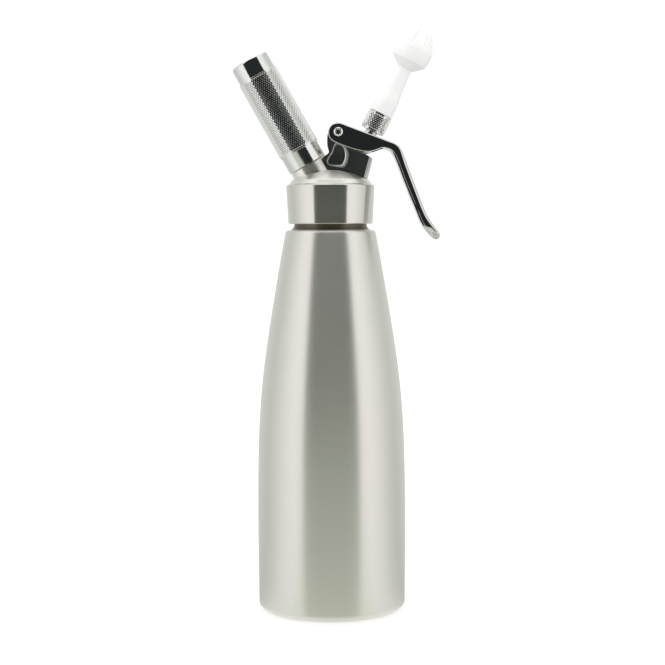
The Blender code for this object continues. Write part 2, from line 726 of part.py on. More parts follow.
def spring_points():
    """The wire's middle line: closed end turns, open turns between them."""
    low = BUSH_TOP + CLEARANCE + SPRING_WIRE
    high = collar_foot - CLEARANCE - SPRING_WIRE
    open_pitch = (high - low - 2 * SPRING_END_PITCH) / (SPRING_TURNS - 2)
    points = []
    for step in range(SPRING_TURNS * SPRING_POINTS_A_TURN + 1):
        turns = step / SPRING_POINTS_A_TURN
        rise = SPRING_END_PITCH * min(turns, 1) + open_pitch * max(0, min(turns, SPRING_TURNS - 1) - 1)
        rise += SPRING_END_PITCH * max(0, turns - SPRING_TURNS + 1)
        angle = math.tau * turns
        points.append(Vector((SPRING_RADIUS * math.cos(angle), SPRING_RADIUS * math.sin(angle), low + rise)))
    return points


def least_gap(points, apart, thickness):
    """Least space between turns, from points at least the given count apart."""
    pairs = (
        (first - second).length
        for place, first in enumerate(points)
        for second in points[place + apart:]
    )
    return min(pairs) - thickness


def make_spring(valve_axis):
    points = spring_points()
    curve = bpy.data.curves.new("stem_spring", "CURVE")
    curve.dimensions = "3D"
    curve.bevel_depth = SPRING_WIRE
    curve.bevel_resolution = 1
    curve.use_fill_caps = True
    wire = curve.splines.new("POLY")
    wire.points.add(len(points) - 1)
    for place, point in zip(wire.points, points):
        place.co = (*point, 1)
    put("stem_spring", curve, bright_steel("spring_steel"), valve_axis)
    gap = least_gap(points, SPRING_POINTS_A_TURN // 2 + 1, 2 * SPRING_WIRE)
    print(f"stem_spring: least gap between turns {gap * 1000:.2f} mm")


def lever_outline():
    """Side view of the lever from its pivot: eye, straight top, bent handle and cheek underside."""
    eye_centre = (0, -LEVER_EYE_DROP_SHARE * LEVER_EYE_RADIUS)
    top_angle = 90 - LEVER_TOP_SLOPE
    eye = arc(eye_centre, LEVER_EYE_RADIUS, 245, top_angle, 9)
    outer = shares_of(LEVER_OUTER_SHARES, LEVER_REACH, LEVER_DROP)
    tip = shares_of(LEVER_TIP_SHARES, LEVER_REACH, LEVER_DROP)
    inner = shares_of(LEVER_INNER_SHARES, LEVER_REACH, LEVER_DROP)
    return eye + outer + tip + inner


def handle_plan():
    """View of the lever along X: full width at the clevis, narrower handle, round end."""
    wide = LEVER_WIDTH / 2
    narrow = HANDLE_WIDTH / 2
    end = -LEVER_DROP + narrow
    right = [(wide, LEVER_REACH), (wide, -HANDLE_TAPER_TOP), (narrow, -HANDLE_TAPER_DROP)]
    left = [(-y, z) for y, z in reversed(right)]
    return right + arc((0, end), narrow, 0, -180, 10) + left


def make_lever(pivot, valve_tilt):
    """Clevis, slotted top plate with two noses, and the handle, bent from one piece."""
    half = LEVER_WIDTH / 2
    lever = plate("lever", lever_outline(), -half, half, mirror_steel("lever_steel"), pivot)
    plan = plate("handle_plan", handle_plan(), -LEVER_REACH, 2 * LEVER_REACH, parent=pivot, cutter=True)
    plan.rotation_euler = (0, 0, math.radians(-90))
    keep_common(lever, plan)
    round_edges(lever, LEVER_EDGE_ROUND, 2, 50.0)

    slope = math.tan(math.radians(LEVER_TOP_SLOPE))
    eye_drop = LEVER_EYE_DROP_SHARE * LEVER_EYE_RADIUS
    top_line = LEVER_EYE_RADIUS / math.cos(math.radians(LEVER_TOP_SLOPE)) - eye_drop
    plate_drop = LEVER_PLATE / math.cos(math.radians(LEVER_TOP_SLOPE))
    under = [(x, top_line - slope * x - plate_drop) for x in (LEVER_PLATE_START, LEVER_CHANNEL_END)]
    far = 2 * LEVER_EYE_RADIUS
    deep = -LEVER_DROP / 2
    channel = plate(
        "clevis_channel",
        [(-far, far), (LEVER_PLATE_START, far), under[0], under[1], (LEVER_CHANNEL_END, deep), (-far, deep)],
        -inner_cheek, inner_cheek, parent=pivot, cutter=True,
    )
    cut(lever, channel)

    noses = bpy.data.objects.new("nose_frame", None)
    cutters.objects.link(noses)
    noses.parent = pivot
    noses.rotation_euler = (0, valve_tilt, 0)
    nose_across = PIVOT_ARM + nose_place
    nose_along = nose_rise - PIVOT_RISE
    rise = math.radians(VALVE_TILT - LEVER_TOP_SLOPE)
    top_gap = LEVER_EYE_RADIUS - eye_drop * math.cos(math.radians(LEVER_TOP_SLOPE))
    nose_top = top_gap / math.cos(rise) + nose_across * math.tan(rise) - LEVER_PLATE / 2
    rib = arc((nose_across, nose_along), NOSE_RADIUS, 180, 360, 6)
    rib += [(nose_across + NOSE_RADIUS, nose_top), (nose_across - NOSE_RADIUS, nose_top)]
    nose_side = STEM_RADIUS + SLOT_MARGIN + CLEARANCE / 2
    into_cheek = inner_cheek + CHEEK_THICKNESS / 3
    for name, low, high in (("front_nose", -into_cheek, -nose_side), ("rear_nose", nose_side, into_cheek)):
        join(lever, plate(name, rib, low, high, parent=noses, cutter=True))

    slot_half = STEM_RADIUS + SLOT_MARGIN
    slot = arc((PIVOT_ARM, 0), slot_half, -90, 90, 8)
    slot += arc((PIVOT_ARM - SLOT_SWING, 0), slot_half, 90, 270, 8)
    slot_tool = plate("stem_slot", slot, -far, far, parent=noses, cutter=True)
    slot_tool.rotation_euler = (math.radians(90), 0, 0)
    slot_tool.location = (0, 0, far + nose_along)
    cut(lever, slot_tool)

    hole = SLEEVE_RADIUS + CLEARANCE
    seat = SCREW_HEAD_RADIUS + CLEARANCE
    seat_depth = half + SCREW_HEAD_PROUD - SCREW_HEAD_HEIGHT - CLEARANCE
    bore = turned(
        "lever_bore",
        [(0, half + OVERRUN), (seat, half + OVERRUN), (seat, seat_depth), (hole, seat_depth),
         (hole, -seat_depth), (seat, -seat_depth), (seat, -half - OVERRUN), (0, -half - OVERRUN)],
        parent=pivot, cutter=True, steps=SMALL_ROUND_STEPS,
    )
    bore.rotation_euler = (math.radians(90), 0, 0)
    cut(lever, bore)


def make_pivot(pivot):
    """A headed sleeve from the back and a hex socket screw from the front, heads sunk in the cheeks."""
    head_out = LEVER_WIDTH / 2 + SCREW_HEAD_PROUD
    head_in = head_out - SCREW_HEAD_HEIGHT
    sleeve_end = head_in - CLEARANCE
    sleeve = turned(
        "pivot_sleeve",
        [(SLEEVE_RADIUS, sleeve_end), (SLEEVE_RADIUS, -head_in), (SCREW_HEAD_RADIUS, -head_in),
         (SCREW_HEAD_RADIUS, -head_out), (SLEEVE_BORE, -head_out), (SLEEVE_BORE, sleeve_end)],
        bright_steel("sleeve_steel"), pivot, steps=SMALL_ROUND_STEPS, closed=True,
    )
    sleeve.rotation_euler = (math.radians(90), 0, 0)
    screw = turned(
        "pivot_screw",
        [(0, head_out), (SCREW_HEAD_RADIUS - SOCKET_CHAMFER, head_out),
         (SCREW_HEAD_RADIUS, head_out - SOCKET_CHAMFER), (SCREW_HEAD_RADIUS, head_in),
         (SCREW_SHANK_RADIUS, head_in), (SCREW_SHANK_RADIUS, head_in - SCREW_SHANK_LENGTH),
         (0, head_in - SCREW_SHANK_LENGTH)],
        bright_steel("screw_steel"), pivot, steps=SMALL_ROUND_STEPS,
    )
    screw.rotation_euler = (math.radians(90), 0, 0)
    socket = rod_cutter(
        "hex_socket", SOCKET_FLATS / math.sqrt(3), head_out - SOCKET_DEPTH, head_out + OVERRUN, pivot,
        SOCKET_SIDES,
    )
    socket.rotation_euler = (math.radians(90), 0, 0)
    cut(screw, socket)


def make_inlet(holder_axis):
    """Pin holder, hollow pin, seals and the rubber sleeve that lets gas in and not out."""
    tail_foot = pin_holder_foot - PIN_HOLDER_TAIL_LENGTH
    pin_seat = HOLDER_SEAT + PIN_FOOT
    profile = [
        (PIN_HOLDER_RADIUS, pin_holder_top), (PIN_HOLDER_RADIUS, pin_holder_foot),
        (PIN_HOLDER_TAIL, pin_holder_foot), (PIN_HOLDER_TAIL, tail_foot), (PIN_BORE, tail_foot),
        (PIN_BORE, pin_seat - CLEARANCE), (pin_bore, pin_seat - CLEARANCE), (pin_bore, pin_holder_top),
    ]
    turned(
        "pin_holder", profile, bright_steel("inlet_steel"), holder_axis, steps=SMALL_ROUND_STEPS, closed=True,
    )
    ring = ring_profile(tail_bore, PIN_HOLDER_RADIUS, pin_seal_top - PIN_SEAL_THICKNESS, pin_seal_top)
    turned(
        "pin_holder_seal", ring, rubber("pin_seal_rubber"), holder_axis, steps=SMALL_ROUND_STEPS, closed=True,
    )

    tip = charger_foot + PIN_PIERCE
    needle = [
        (PIN_BORE + CLEARANCE, tip), (PIN_RADIUS, tip - PIN_POINT), (PIN_RADIUS, pin_seat),
        (PIN_BORE, pin_seat), (PIN_BORE, tip),
    ]
    turned(
        "piercing_pin", needle, bright_steel("pin_steel"), holder_axis, steps=SMALL_ROUND_STEPS, closed=True,
    )

    seal = ring_profile(pin_bore, PIN_HOLDER_RADIUS, charger_seal_foot, charger_seal_top)
    turned("charger_seal", seal, rubber("charger_rubber"), holder_axis, steps=SMALL_ROUND_STEPS, closed=True)
    sleeve_top = sleeve_seat - CLEARANCE
    sleeve = ring_profile(tail_bore, SLEEVE_VALVE_RADIUS, sleeve_top - SLEEVE_VALVE_LENGTH, sleeve_top)
    turned(
        "check_valve_sleeve", sleeve, rubber("sleeve_rubber"), holder_axis,
        steps=SMALL_ROUND_STEPS, closed=True,
    )


def make_charger(holder_axis):
    """A steel gas bottle, neck down, its seal pierced by the pin."""
    shoulder_foot = charger_foot + CHARGER_NECK_LENGTH
    shoulder_top = shoulder_foot + CHARGER_SHOULDER
    end_foot = charger_top - CHARGER_END
    rise = CHARGER_RADIUS - CHARGER_NECK_RADIUS
    end = [
        (CHARGER_RADIUS * math.sin(math.radians(turn)), end_foot + CHARGER_END * math.cos(math.radians(turn)))
        for turn in (0, 22, 45, 67, 90)
    ]
    blend = [
        (CHARGER_RADIUS - rise * share * share * (3 - 2 * share), shoulder_top - CHARGER_SHOULDER * share)
        for share in (0, 0.2, 0.4, 0.6, 0.8, 1)
    ]
    profile = end + blend + [(CHARGER_NECK_RADIUS, charger_foot), (pin_bore, charger_foot)]
    charger = turned(
        "gas_charger", profile, satin_steel("charger_steel"), holder_axis, steps=SMALL_ROUND_STEPS,
    )
    shell(charger, CHARGER_WALL)


def make_holder(holder_axis):
    """A deep cap with a wider grip between two polished bands."""
    grip_foot = HOLDER_SEAT + HOLDER_LOWER_BAND
    grip_top = holder_top - HOLDER_UPPER_BAND
    step = HOLDER_GRIP_CHAMFER
    profile = [(0, holder_top)]
    profile += arc(
        (HOLDER_UPPER_RADIUS - HOLDER_TOP_ROUND, holder_top - HOLDER_TOP_ROUND), HOLDER_TOP_ROUND, 90, 0, 3
    )
    profile += [
        (HOLDER_UPPER_RADIUS, grip_top), (HOLDER_GRIP_RADIUS - step, grip_top),
        (HOLDER_GRIP_RADIUS, grip_top - step), (HOLDER_GRIP_RADIUS, grip_foot + step),
        (HOLDER_GRIP_RADIUS - step, grip_foot), (HOLDER_LOWER_RADIUS, grip_foot),
        (HOLDER_LOWER_RADIUS, HOLDER_SEAT + step), (HOLDER_LOWER_RADIUS - step, HOLDER_SEAT),
        (HOLDER_BORE, HOLDER_SEAT), (HOLDER_BORE, holder_ceiling), (0, holder_ceiling),
    ]
    turned("charger_holder", profile, bright_steel("holder_steel"), holder_axis, steps=GRIP_STEPS)


def make_coupling(valve_axis):
    """The knurled nut on the stem, with a threaded nipple above for the tip, and the seal inside it."""
    step = COUPLING_CHAMFER
    seal_foot = stem_top + CLEARANCE
    seal_top = seal_foot + TIP_SEAL_THICKNESS
    inner_ledge = seal_top + CLEARANCE
    thread_bore = STEM_RADIUS + CLEARANCE
    seal_bore = TIP_SEAL_RADIUS + CLEARANCE
    profile = [
        (NIPPLE_RADIUS, nipple_top), (NIPPLE_RADIUS, coupling_top), (COUPLING_RADIUS - step, coupling_top),
        (COUPLING_RADIUS, coupling_top - step), (COUPLING_RADIUS, COUPLING_FOOT + step),
        (COUPLING_RADIUS - step, COUPLING_FOOT), (thread_bore, COUPLING_FOOT), (thread_bore, stem_top),
        (seal_bore, stem_top), (seal_bore, inner_ledge), (NOZZLE_BORE, inner_ledge),
        (NOZZLE_BORE, nipple_top),
    ]
    turned("tip_coupling", profile, bright_steel("coupling_steel"), valve_axis, steps=GRIP_STEPS, closed=True)
    seal = ring_profile(NOZZLE_BORE, TIP_SEAL_RADIUS, seal_foot, seal_top)
    turned("tip_seal", seal, rubber("tip_rubber"), valve_axis, steps=SMALL_ROUND_STEPS, closed=True)


def make_tip(valve_axis):
    """The plastic tulip nozzle: tapered tube, narrow neck, hollow crown slit into petals."""
    foot = coupling_top + CLEARANCE
    neck = coupling_top + TIP_NECK_SHARE * TIP_LENGTH
    crown = smooth_through(
        [(TIP_CROWN_RADIUS * wide, coupling_top + TIP_LENGTH * high) for high, wide in TIP_CROWN_SHARES], 1
    )
    taper = [(TIP_BASE_RADIUS * wide, coupling_top + TIP_LENGTH * high) for high, wide in TIP_TAPER_SHARES]
    outside = crown[::-1] + [(TIP_NECK_RADIUS, neck)] + taper[:0:-1] + [(TIP_BASE_RADIUS, foot)]
    socket = NIPPLE_RADIUS + CLEARANCE
    bore_foot = nipple_top + CLEARANCE
    floor = neck + (TIP_CROWN_SHARES[0][0] - TIP_NECK_SHARE) * TIP_LENGTH / 2
    inside = [(socket, foot), (socket, bore_foot), (NOZZLE_BORE, bore_foot), (NOZZLE_BORE, floor)]
    inside += [(radius - TIP_WALL, height) for radius, height in crown[1:]]
    plastic = finish_of("tip_plastic", (0.93, 0.93, 0.91), 0.0, 0.38)
    tip = turned("tulip_tip", outside + inside, plastic, valve_axis, steps=GRIP_STEPS, closed=True)
    top = coupling_top + TIP_LENGTH + CLEARANCE
    slot_foot = top - PETAL_SLOT_DEPTH
    reach = TIP_CROWN_RADIUS + OVERRUN
    for number in range(PETAL_PAIRS):
        slit = plate(
            f"petal_slit_{number}",
            [(0, slot_foot), (PETAL_SLOT_HALF_WIDTH, top), (-PETAL_SLOT_HALF_WIDTH, top)],
            -reach, reach, parent=valve_axis, cutter=True,
        )
        slit.rotation_euler = (0, 0, math.pi * (number + 0.5) / PETAL_PAIRS)
        cut(tip, slit)


def main():
    clear_scene()
    valve_axis = tilted_axis("valve_axis", valve_foot, VALVE_TILT)
    holder_axis = tilted_axis("holder_axis", holder_foot, -HOLDER_TILT)
    tilt = math.radians(VALVE_TILT)
    place = Matrix.Rotation(tilt, 3, "Y") @ Vector((-PIVOT_ARM, 0, PIVOT_RISE))
    pivot = bpy.data.objects.new("lever_pivot", None)
    parts.objects.link(pivot)
    pivot.location = (place.x, 0, valve_foot + place.z)

    make_bottle()
    make_gasket()
    make_cap(valve_axis, holder_axis)
    make_block(valve_axis, holder_axis)
    make_bush(valve_axis)
    make_stem(valve_axis)
    make_stem_fittings(valve_axis)
    make_spring(valve_axis)
    make_lever(pivot, tilt)
    make_pivot(pivot)
    make_inlet(holder_axis)
    make_charger(holder_axis)
    make_holder(holder_axis)
    make_coupling(valve_axis)
    make_tip(valve_axis)
    bpy.context.view_layer.update()
    print(f"stem travel {stem_travel * 1000:.2f} mm over a squeeze of {SQUEEZE_ANGLE:.0f} degrees")


main()
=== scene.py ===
import json
from math import acos, asin, atan2, cos, degrees, dist, pi, radians, sin, sqrt, tan, tau

import bmesh
import bpy
from mathutils import Matrix, Vector


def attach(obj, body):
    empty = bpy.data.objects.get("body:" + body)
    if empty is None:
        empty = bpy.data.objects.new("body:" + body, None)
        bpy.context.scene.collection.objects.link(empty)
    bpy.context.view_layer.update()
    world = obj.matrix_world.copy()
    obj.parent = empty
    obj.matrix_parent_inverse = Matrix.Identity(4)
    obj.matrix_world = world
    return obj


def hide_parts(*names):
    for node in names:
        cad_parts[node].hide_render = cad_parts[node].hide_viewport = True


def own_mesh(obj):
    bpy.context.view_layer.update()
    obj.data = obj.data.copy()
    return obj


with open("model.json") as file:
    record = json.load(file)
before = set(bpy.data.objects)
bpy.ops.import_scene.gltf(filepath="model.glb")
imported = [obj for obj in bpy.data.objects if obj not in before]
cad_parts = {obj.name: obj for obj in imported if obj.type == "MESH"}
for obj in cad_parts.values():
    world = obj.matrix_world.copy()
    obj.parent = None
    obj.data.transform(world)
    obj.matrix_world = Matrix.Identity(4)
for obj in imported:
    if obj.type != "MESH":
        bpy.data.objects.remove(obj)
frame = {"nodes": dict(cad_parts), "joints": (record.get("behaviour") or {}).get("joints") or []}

scene = bpy.context.scene
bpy.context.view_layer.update()  # brings the imported solids' places up to date
fit = 0.0003  # gap between pieces that turn or slide on each other
past = 0.003  # how far a cutter reaches past the surface


def jointNamed(name):
    return next(joint for joint in frame["joints"] if joint["name"] == name)


def leaningPlace(name):  # a place with Z along the joint's axis and its foot on the bottle's own axis
    joint = jointNamed(name)
    along = Vector(joint["axis"]).normalized()
    point = Vector(joint["pos_m"])
    foot = point - along * (point.x / along.x)
    return Matrix.Translation(foot) @ Matrix.Rotation(atan2(along.x, along.z), 4, "Y")


bottlePlace = Matrix.Identity(4)
valvePlace = leaningPlace("coupling_turn")
holderPlace = leaningPlace("holder_turn")
pivotPlace = Matrix.Translation(Vector(jointNamed("lever_pivot")["pos_m"]))
alongWidth = Matrix.Rotation(radians(90), 4, "X")  # turns a piece's own Z to face the front
print("frame read,", len(frame["nodes"]), "solids")


def arcPoints(centre, radius, start, end, steps):  # an arc, from one angle in degrees to another
    turns = [radians(start + (end - start) * step / steps) for step in range(steps + 1)]
    return [(centre[0] + radius * cos(turn), centre[1] + radius * sin(turn)) for turn in turns]


def smoothLine(points, steps):  # a Catmull-Rom curve through the points
    chain = [Vector(point) for point in points]
    chain = [2 * chain[0] - chain[1]] + chain + [2 * chain[-1] - chain[-2]]
    curve = []
    for before, start, end, after in zip(chain, chain[1:], chain[2:], chain[3:]):
        for step in range(steps):
            t = step / steps
            cubic = 3 * start - before - 3 * end + after
            square = 2 * before - 5 * start + 4 * end - after
            curve.append(tuple(start + 0.5 * t * (end - before + t * (square + t * cubic))))
    curve.append(tuple(chain[-2]))
    return curve


def softCorners(points, width, steps=3, closed=False, least=24):  # rounds the corners of a line of points
    chain = [Vector(point) for point in points]
    result = []
    for place, corner in enumerate(chain):
        before = chain[place - 1] - corner
        after = chain[(place + 1) % len(chain)] - corner
        fixed = not closed and place in (0, len(chain) - 1)
        if fixed or min(before.length, after.length) < 1e-7 or degrees(before.angle(-after)) < least:
            result.append(tuple(corner))
            continue
        reach = min(width, 0.45 * before.length, 0.45 * after.length)
        start = corner + before.normalized() * reach
        end = corner + after.normalized() * reach
        for step in range(steps + 1):
            t = step / steps
            result.append(tuple(start * (1 - t) ** 2 + corner * 2 * t * (1 - t) + end * t * t))
    return result


def take(size, names):  # the values of several names
    return [size[name] for name in names.split()]


def scaled(shares, first, second):
    return [(one * first, two * second) for one, two in shares]


def stepLine(top, *parts):  # an outline from the axis down in parts of (radius, height of its end)
    points = [(0, top)]
    for radius, end in parts:
        points += [(radius, points[-1][1]), (radius, end)]
    return points + [(0, parts[-1][1])]


def ringLine(top, *parts):  # the same for a closed ring, which doesn't touch the axis
    return stepLine(top, *parts)[1:-1]


def around(radius, turn, height):
    return (radius * cos(turn), radius * sin(turn), height)


def makePiece(name, shape, place=None):
    if place is not None:
        shape.transform(place)
    mesh = bpy.data.meshes.new(name)
    shape.to_mesh(mesh)
    shape.free()
    piece = bpy.data.objects.new(name, mesh)
    scene.collection.objects.link(piece)
    return piece


def lathe(profile, segments=96, closed=False):  # a line of (radius, height) turned about Z
    shape = bmesh.new()
    turns = [tau * step / segments for step in range(segments)]
    rings = []
    for radius, height in profile:
        spots = [(0, 0, height)] if radius < 1e-7 else [around(radius, turn, height) for turn in turns]
        rings.append([shape.verts.new(spot) for spot in spots])
    following = rings[1:] + rings[:1] if closed else rings[1:]
    for upper, lower in zip(rings, following):
        for step in range(segments):
            after = (step + 1) % segments
            corners = [
                upper[step % len(upper)], lower[step % len(lower)],
                lower[after % len(lower)], upper[after % len(upper)],
            ]
            corners = list(dict.fromkeys(corners))
            if len(corners) > 2:
                shape.faces.new(corners)
    bmesh.ops.recalc_face_normals(shape, faces=shape.faces)
    return shape


def turned(name, profile, place, segments=96, closed=False):
    return makePiece(name, lathe(profile, segments, closed), place)


def slab(name, outline, low, high, place=None):  # an (x, z) outline with depth along Y
    shape = bmesh.new()
    front = [shape.verts.new((x, low, z)) for x, z in outline]
    back = [shape.verts.new((x, high, z)) for x, z in outline]
    shape.faces.new(front)
    shape.faces.new(back[::-1])
    for step in range(len(outline)):
        after = (step + 1) % len(outline)
        shape.faces.new((front[step], back[step], back[after], front[after]))
    bmesh.ops.recalc_face_normals(shape, faces=shape.faces)
    return makePiece(name, shape, place)


def joinRings(rings, ends=None):  # rings of as many points; ends hold the places in each closing face
    shape = bmesh.new()
    rings = [[shape.verts.new(spot) for spot in ring] for ring in rings]
    count = len(rings[0])
    for first, last in zip(rings, rings[1:]):
        for step in range(count):
            after = (step + 1) % count
            shape.faces.new((first[step], first[after], last[after], last[step]))
    closing = [rings[0][::-1], rings[-1]]
    if ends:
        closing = [[ring[place] for place in places] for ring in (rings[0], rings[-1]) for places in ends]
    for corners in closing:
        shape.faces.new(corners)
    bmesh.ops.recalc_face_normals(shape, faces=shape.faces)
    return shape


def ridge(radius, crest, pitch, turns, foot, half, steps=64):  # a thread that fades at both ends
    count = round(turns * steps)
    root = radius - 0.0004
    rings = []
    for step in range(count + 1):
        share = step / count
        fade = min(1, share * turns * 2.5, (1 - share) * turns * 2.5)
        out = radius + (crest - radius) * fade
        angle = tau * step / steps
        height = foot + pitch * step / steps
        corners = ((root, -half), (out, -0.35 * half), (out, 0.35 * half), (root, half))
        rings.append([around(reach, angle, height + rise) for reach, rise in corners])
    return joinRings(rings)


def addThread(piece, size, radius, foot, steps=64, place=None):
    foot += size["threadFoot"]
    thread = ridge(radius, size["crest"], size["pitch"], size["turns"], foot, size["threadHalf"], steps)
    addShape(piece, thread, place)


def settle(piece):  # turns the modifiers' result into the piece's own mesh
    bpy.context.view_layer.update()
    graph = bpy.context.evaluated_depsgraph_get()
    piece.data = bpy.data.meshes.new_from_object(piece.evaluated_get(graph))
    piece.modifiers.clear()
    return piece


def combine(piece, tool, how="DIFFERENCE"):
    change = piece.modifiers.new("Combine", "BOOLEAN")
    change.operation = how
    change.object = tool
    settle(piece)
    bpy.data.objects.remove(tool, do_unlink=True)
    return piece


def cut(piece, outline, place, segments=64, how="DIFFERENCE"):  # with a turned tool
    return combine(piece, turned("tool", outline, place, segments), how)


def addShape(piece, shape, place=None):  # adds a separate closed form to a piece's mesh
    if place is not None:
        shape.transform(place)
    shape.from_mesh(piece.data)
    shape.to_mesh(piece.data)
    shape.free()
    return piece


def roundEdges(piece, width, segments=3, angle=38):
    bevel = piece.modifiers.new("Rounded edges", "BEVEL")
    bevel.width = width
    bevel.segments = segments
    bevel.limit_method = "ANGLE"
    bevel.angle_limit = radians(angle)
    bevel.use_clamp_overlap = False
    return settle(piece)


def addWall(piece, thickness):  # inward, from a single skin
    wall = piece.modifiers.new("Wall", "SOLIDIFY")
    wall.thickness = thickness
    wall.offset = -1
    wall.use_even_offset = True
    return settle(piece)


def dress(piece, material, body, *nodes, sharp=32, flat=False):
    piece.data.materials.clear()
    piece.data.materials.append(material)
    piece.data.shade_smooth()
    piece.data.set_sharp_from_angle(angle=radians(sharp))
    if flat:  # keeps the large flat faces flat up to their rounded edges
        even = piece.modifiers.new("Even faces", "WEIGHTED_NORMAL")
        even.keep_sharp = True
        even.weight = 100
        settle(piece)
    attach(piece, body)
    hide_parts(*nodes)
    return piece


def feed(tree, node, inputs):  # gives each input a value or another node's output
    for name, value in inputs.items():
        if isinstance(value, bpy.types.NodeSocket):
            tree.links.new(value, node.inputs[name])
        else:
            node.inputs[name].default_value = value
    return node


def addNode(tree, kind, inputs, operation=None):
    node = tree.nodes.new(kind)
    if operation:
        node.operation = operation
    return feed(tree, node, inputs)


def mathNode(tree, operation, *values):
    return addNode(tree, "ShaderNodeMath", dict(enumerate(values)), operation).outputs["Value"]


def ownSpot(tree):  # the object coordinates
    return tree.nodes.new("ShaderNodeTexCoord").outputs["Object"]


def startMaterial(name, look):
    material = bpy.data.materials.new(name)
    material.use_nodes = True
    tree = material.node_tree
    shader = feed(tree, tree.nodes["Principled BSDF"], {
        "Base Color": (*look["colour"], 1), "Metallic": look.get("metal", 0), "Roughness": look["roughness"],
        "Anisotropic": look.get("brushed", 0),
        "Anisotropic Rotation": 0.25,  # the lines run round, so light spreads up and down
    })
    return material, tree, shader


def noise(tree, place, grain, detail=3, roughness=0.6):  # in grains along the piece's own axis and across it
    mapping = tree.nodes.new("ShaderNodeMapping")
    mapping.vector_type = "TEXTURE"
    turn = {"Location": place.to_translation(), "Rotation": place.to_euler(), "Scale": grain}
    vector = feed(tree, mapping, {"Vector": ownSpot(tree), **turn}).outputs["Vector"]
    inputs = {"Vector": vector, "Scale": 1, "Detail": detail, "Roughness": roughness}
    return addNode(tree, "ShaderNodeTexNoise", inputs).outputs["Fac"]


def spread(tree, value, low, high, fromLow=0.3, fromHigh=0.7):  # from a noise's middle range
    inputs = {"Value": value, "From Min": fromLow, "From Max": fromHigh, "To Min": low, "To Max": high}
    return addNode(tree, "ShaderNodeMapRange", inputs).outputs["Result"]


def addBump(tree, shader, height, strength, distance):
    bump = addNode(tree, "ShaderNodeBump", {"Height": height, "Strength": strength, "Distance": distance})
    feed(tree, shader, {"Normal": bump.outputs["Normal"]})


def tint(tree, shader, value, first, second):  # first may be a colour or another mix's output
    mix = tree.nodes.new("ShaderNodeMix")
    mix.data_type = "RGBA"
    first = (*first, 1) if isinstance(first, tuple) else first
    feed(tree, mix, {"Factor": value, 6: first, 7: (*second, 1)})  # 6 and 7 are the colour inputs
    result = mix.outputs[2]
    feed(tree, shader, {"Base Color": result})
    return result


def heightShare(tree, height, blend):  # 0 below a height and 1 above it
    parts = addNode(tree, "ShaderNodeSeparateXYZ", {"Vector": ownSpot(tree)})
    return spread(tree, parts.outputs["Z"], 0, 1, height, height + blend)


def metal(name, look, place=bottlePlace):  # steel with fine lines across its own axis and soft smears
    material, tree, shader = startMaterial(name, look)
    across, along = look["grain"]
    base, vary, colour = look["roughness"], look["vary"], look["colour"]
    lines = noise(tree, place, (across, across, along), 4, 0.7)
    smears = noise(tree, place, (0.02, 0.02, 0.012), 3, 0.55)
    smears = spread(tree, smears, -0.5 * vary, 0.5 * vary)
    level = mathNode(tree, "ADD", spread(tree, lines, base - vary, base + vary), smears)
    deep = tuple(part * look["deep"] for part in colour)
    steel = tint(tree, shader, spread(tree, lines, 0, 1, 0.25, 0.75), deep, colour)
    if "satinAndHighlightAbove" in look:  # a satiny, rougher finish above this height, whose lighter colour is a painted highlight
        satinAndHighlight = heightShare(tree, look["satinAndHighlightAbove"], 0.0004)
        level = mathNode(tree, "MULTIPLY_ADD", satinAndHighlight, look["satinRoughness"] - base, level)
        tint(tree, shader, satinAndHighlight, steel, look["paintedHighlightColour"])
    if "neckShadeAbove" in look:  # painted shade: the neck above this height is darkened to stand for the shade under the cap's skirt
        tint(tree, shader, heightShare(tree, look["neckShadeAbove"], 0.0006), steel, look["neckShadeColour"])
    feed(tree, shader, {"Roughness": level})
    addBump(tree, shader, lines, look["bump"], look["depth"])
    return material


def cloudy(name, look, place=bottlePlace):  # rubber or plastic with faint clouds and a fine grain
    material, tree, shader = startMaterial(name, look)
    cloud = noise(tree, place, look["cloud"])
    tint(tree, shader, spread(tree, cloud, 0, 1), *look["shades"])
    base, vary = look["roughness"], look["vary"]
    feed(tree, shader, {"Roughness": spread(tree, cloud, base - vary, base + vary)})
    addBump(tree, shader, noise(tree, place, look["speck"]), look["bump"], look["depth"])
    if "through" in look:
        feed(tree, shader, {
            "Subsurface Weight": look["glow"], "Subsurface Scale": look["reach"],
            "Subsurface Radius": (1, 0.95, 0.85), "Emission Color": (1, 0.99, 0.975, 1),
            "Emission Strength": look["through"],  # painted light: a glow that brightens the tip, standing in for light that crosses the plastic
        })
    return material


steelLook = {"metal": 1, "vary": 0.02, "bump": 0.1, "depth": 0.00002, "deep": 0.93}
brushedLook = {**steelLook, "brushed": 0.92, "grain": (0.03, 0.00025), "bump": 0.12}
bodySteelLook = {
    **brushedLook, "colour": (0.87, 0.85, 0.795), "roughness": 0.38, "deep": 0.96,
    # painted shade: the neck's dark colour stands for the shade under the cap's skirt
    "neckShadeAbove": 0.2478, "neckShadeColour": (0.2, 0.18, 0.14),
}
capSteelLook = {
    **brushedLook, "colour": (0.81, 0.785, 0.735), "roughness": 0.23, "deep": 0.95,
    # painted highlight: the dome's lighter colour stands for the bright light from above
    "satinAndHighlightAbove": 0.2775, "satinRoughness": 0.33, "paintedHighlightColour": (0.93, 0.905, 0.85),
}
blockSteelLook = {
    **steelLook, "colour": (0.72, 0.72, 0.7), "roughness": 0.2, "brushed": 0.75, "vary": 0.03,
    "grain": (0.01, 0.0006), "deep": 0.9,
}
mirrorSteelLook = {
    **steelLook, "colour": (0.72, 0.72, 0.7), "roughness": 0.08, "grain": (0.01, 0.006),
    "depth": 0.00003, "deep": 0.97,
}
brightSteelLook = {**steelLook, "colour": (0.86, 0.86, 0.84), "roughness": 0.1, "grain": (0.01, 0.0004)}
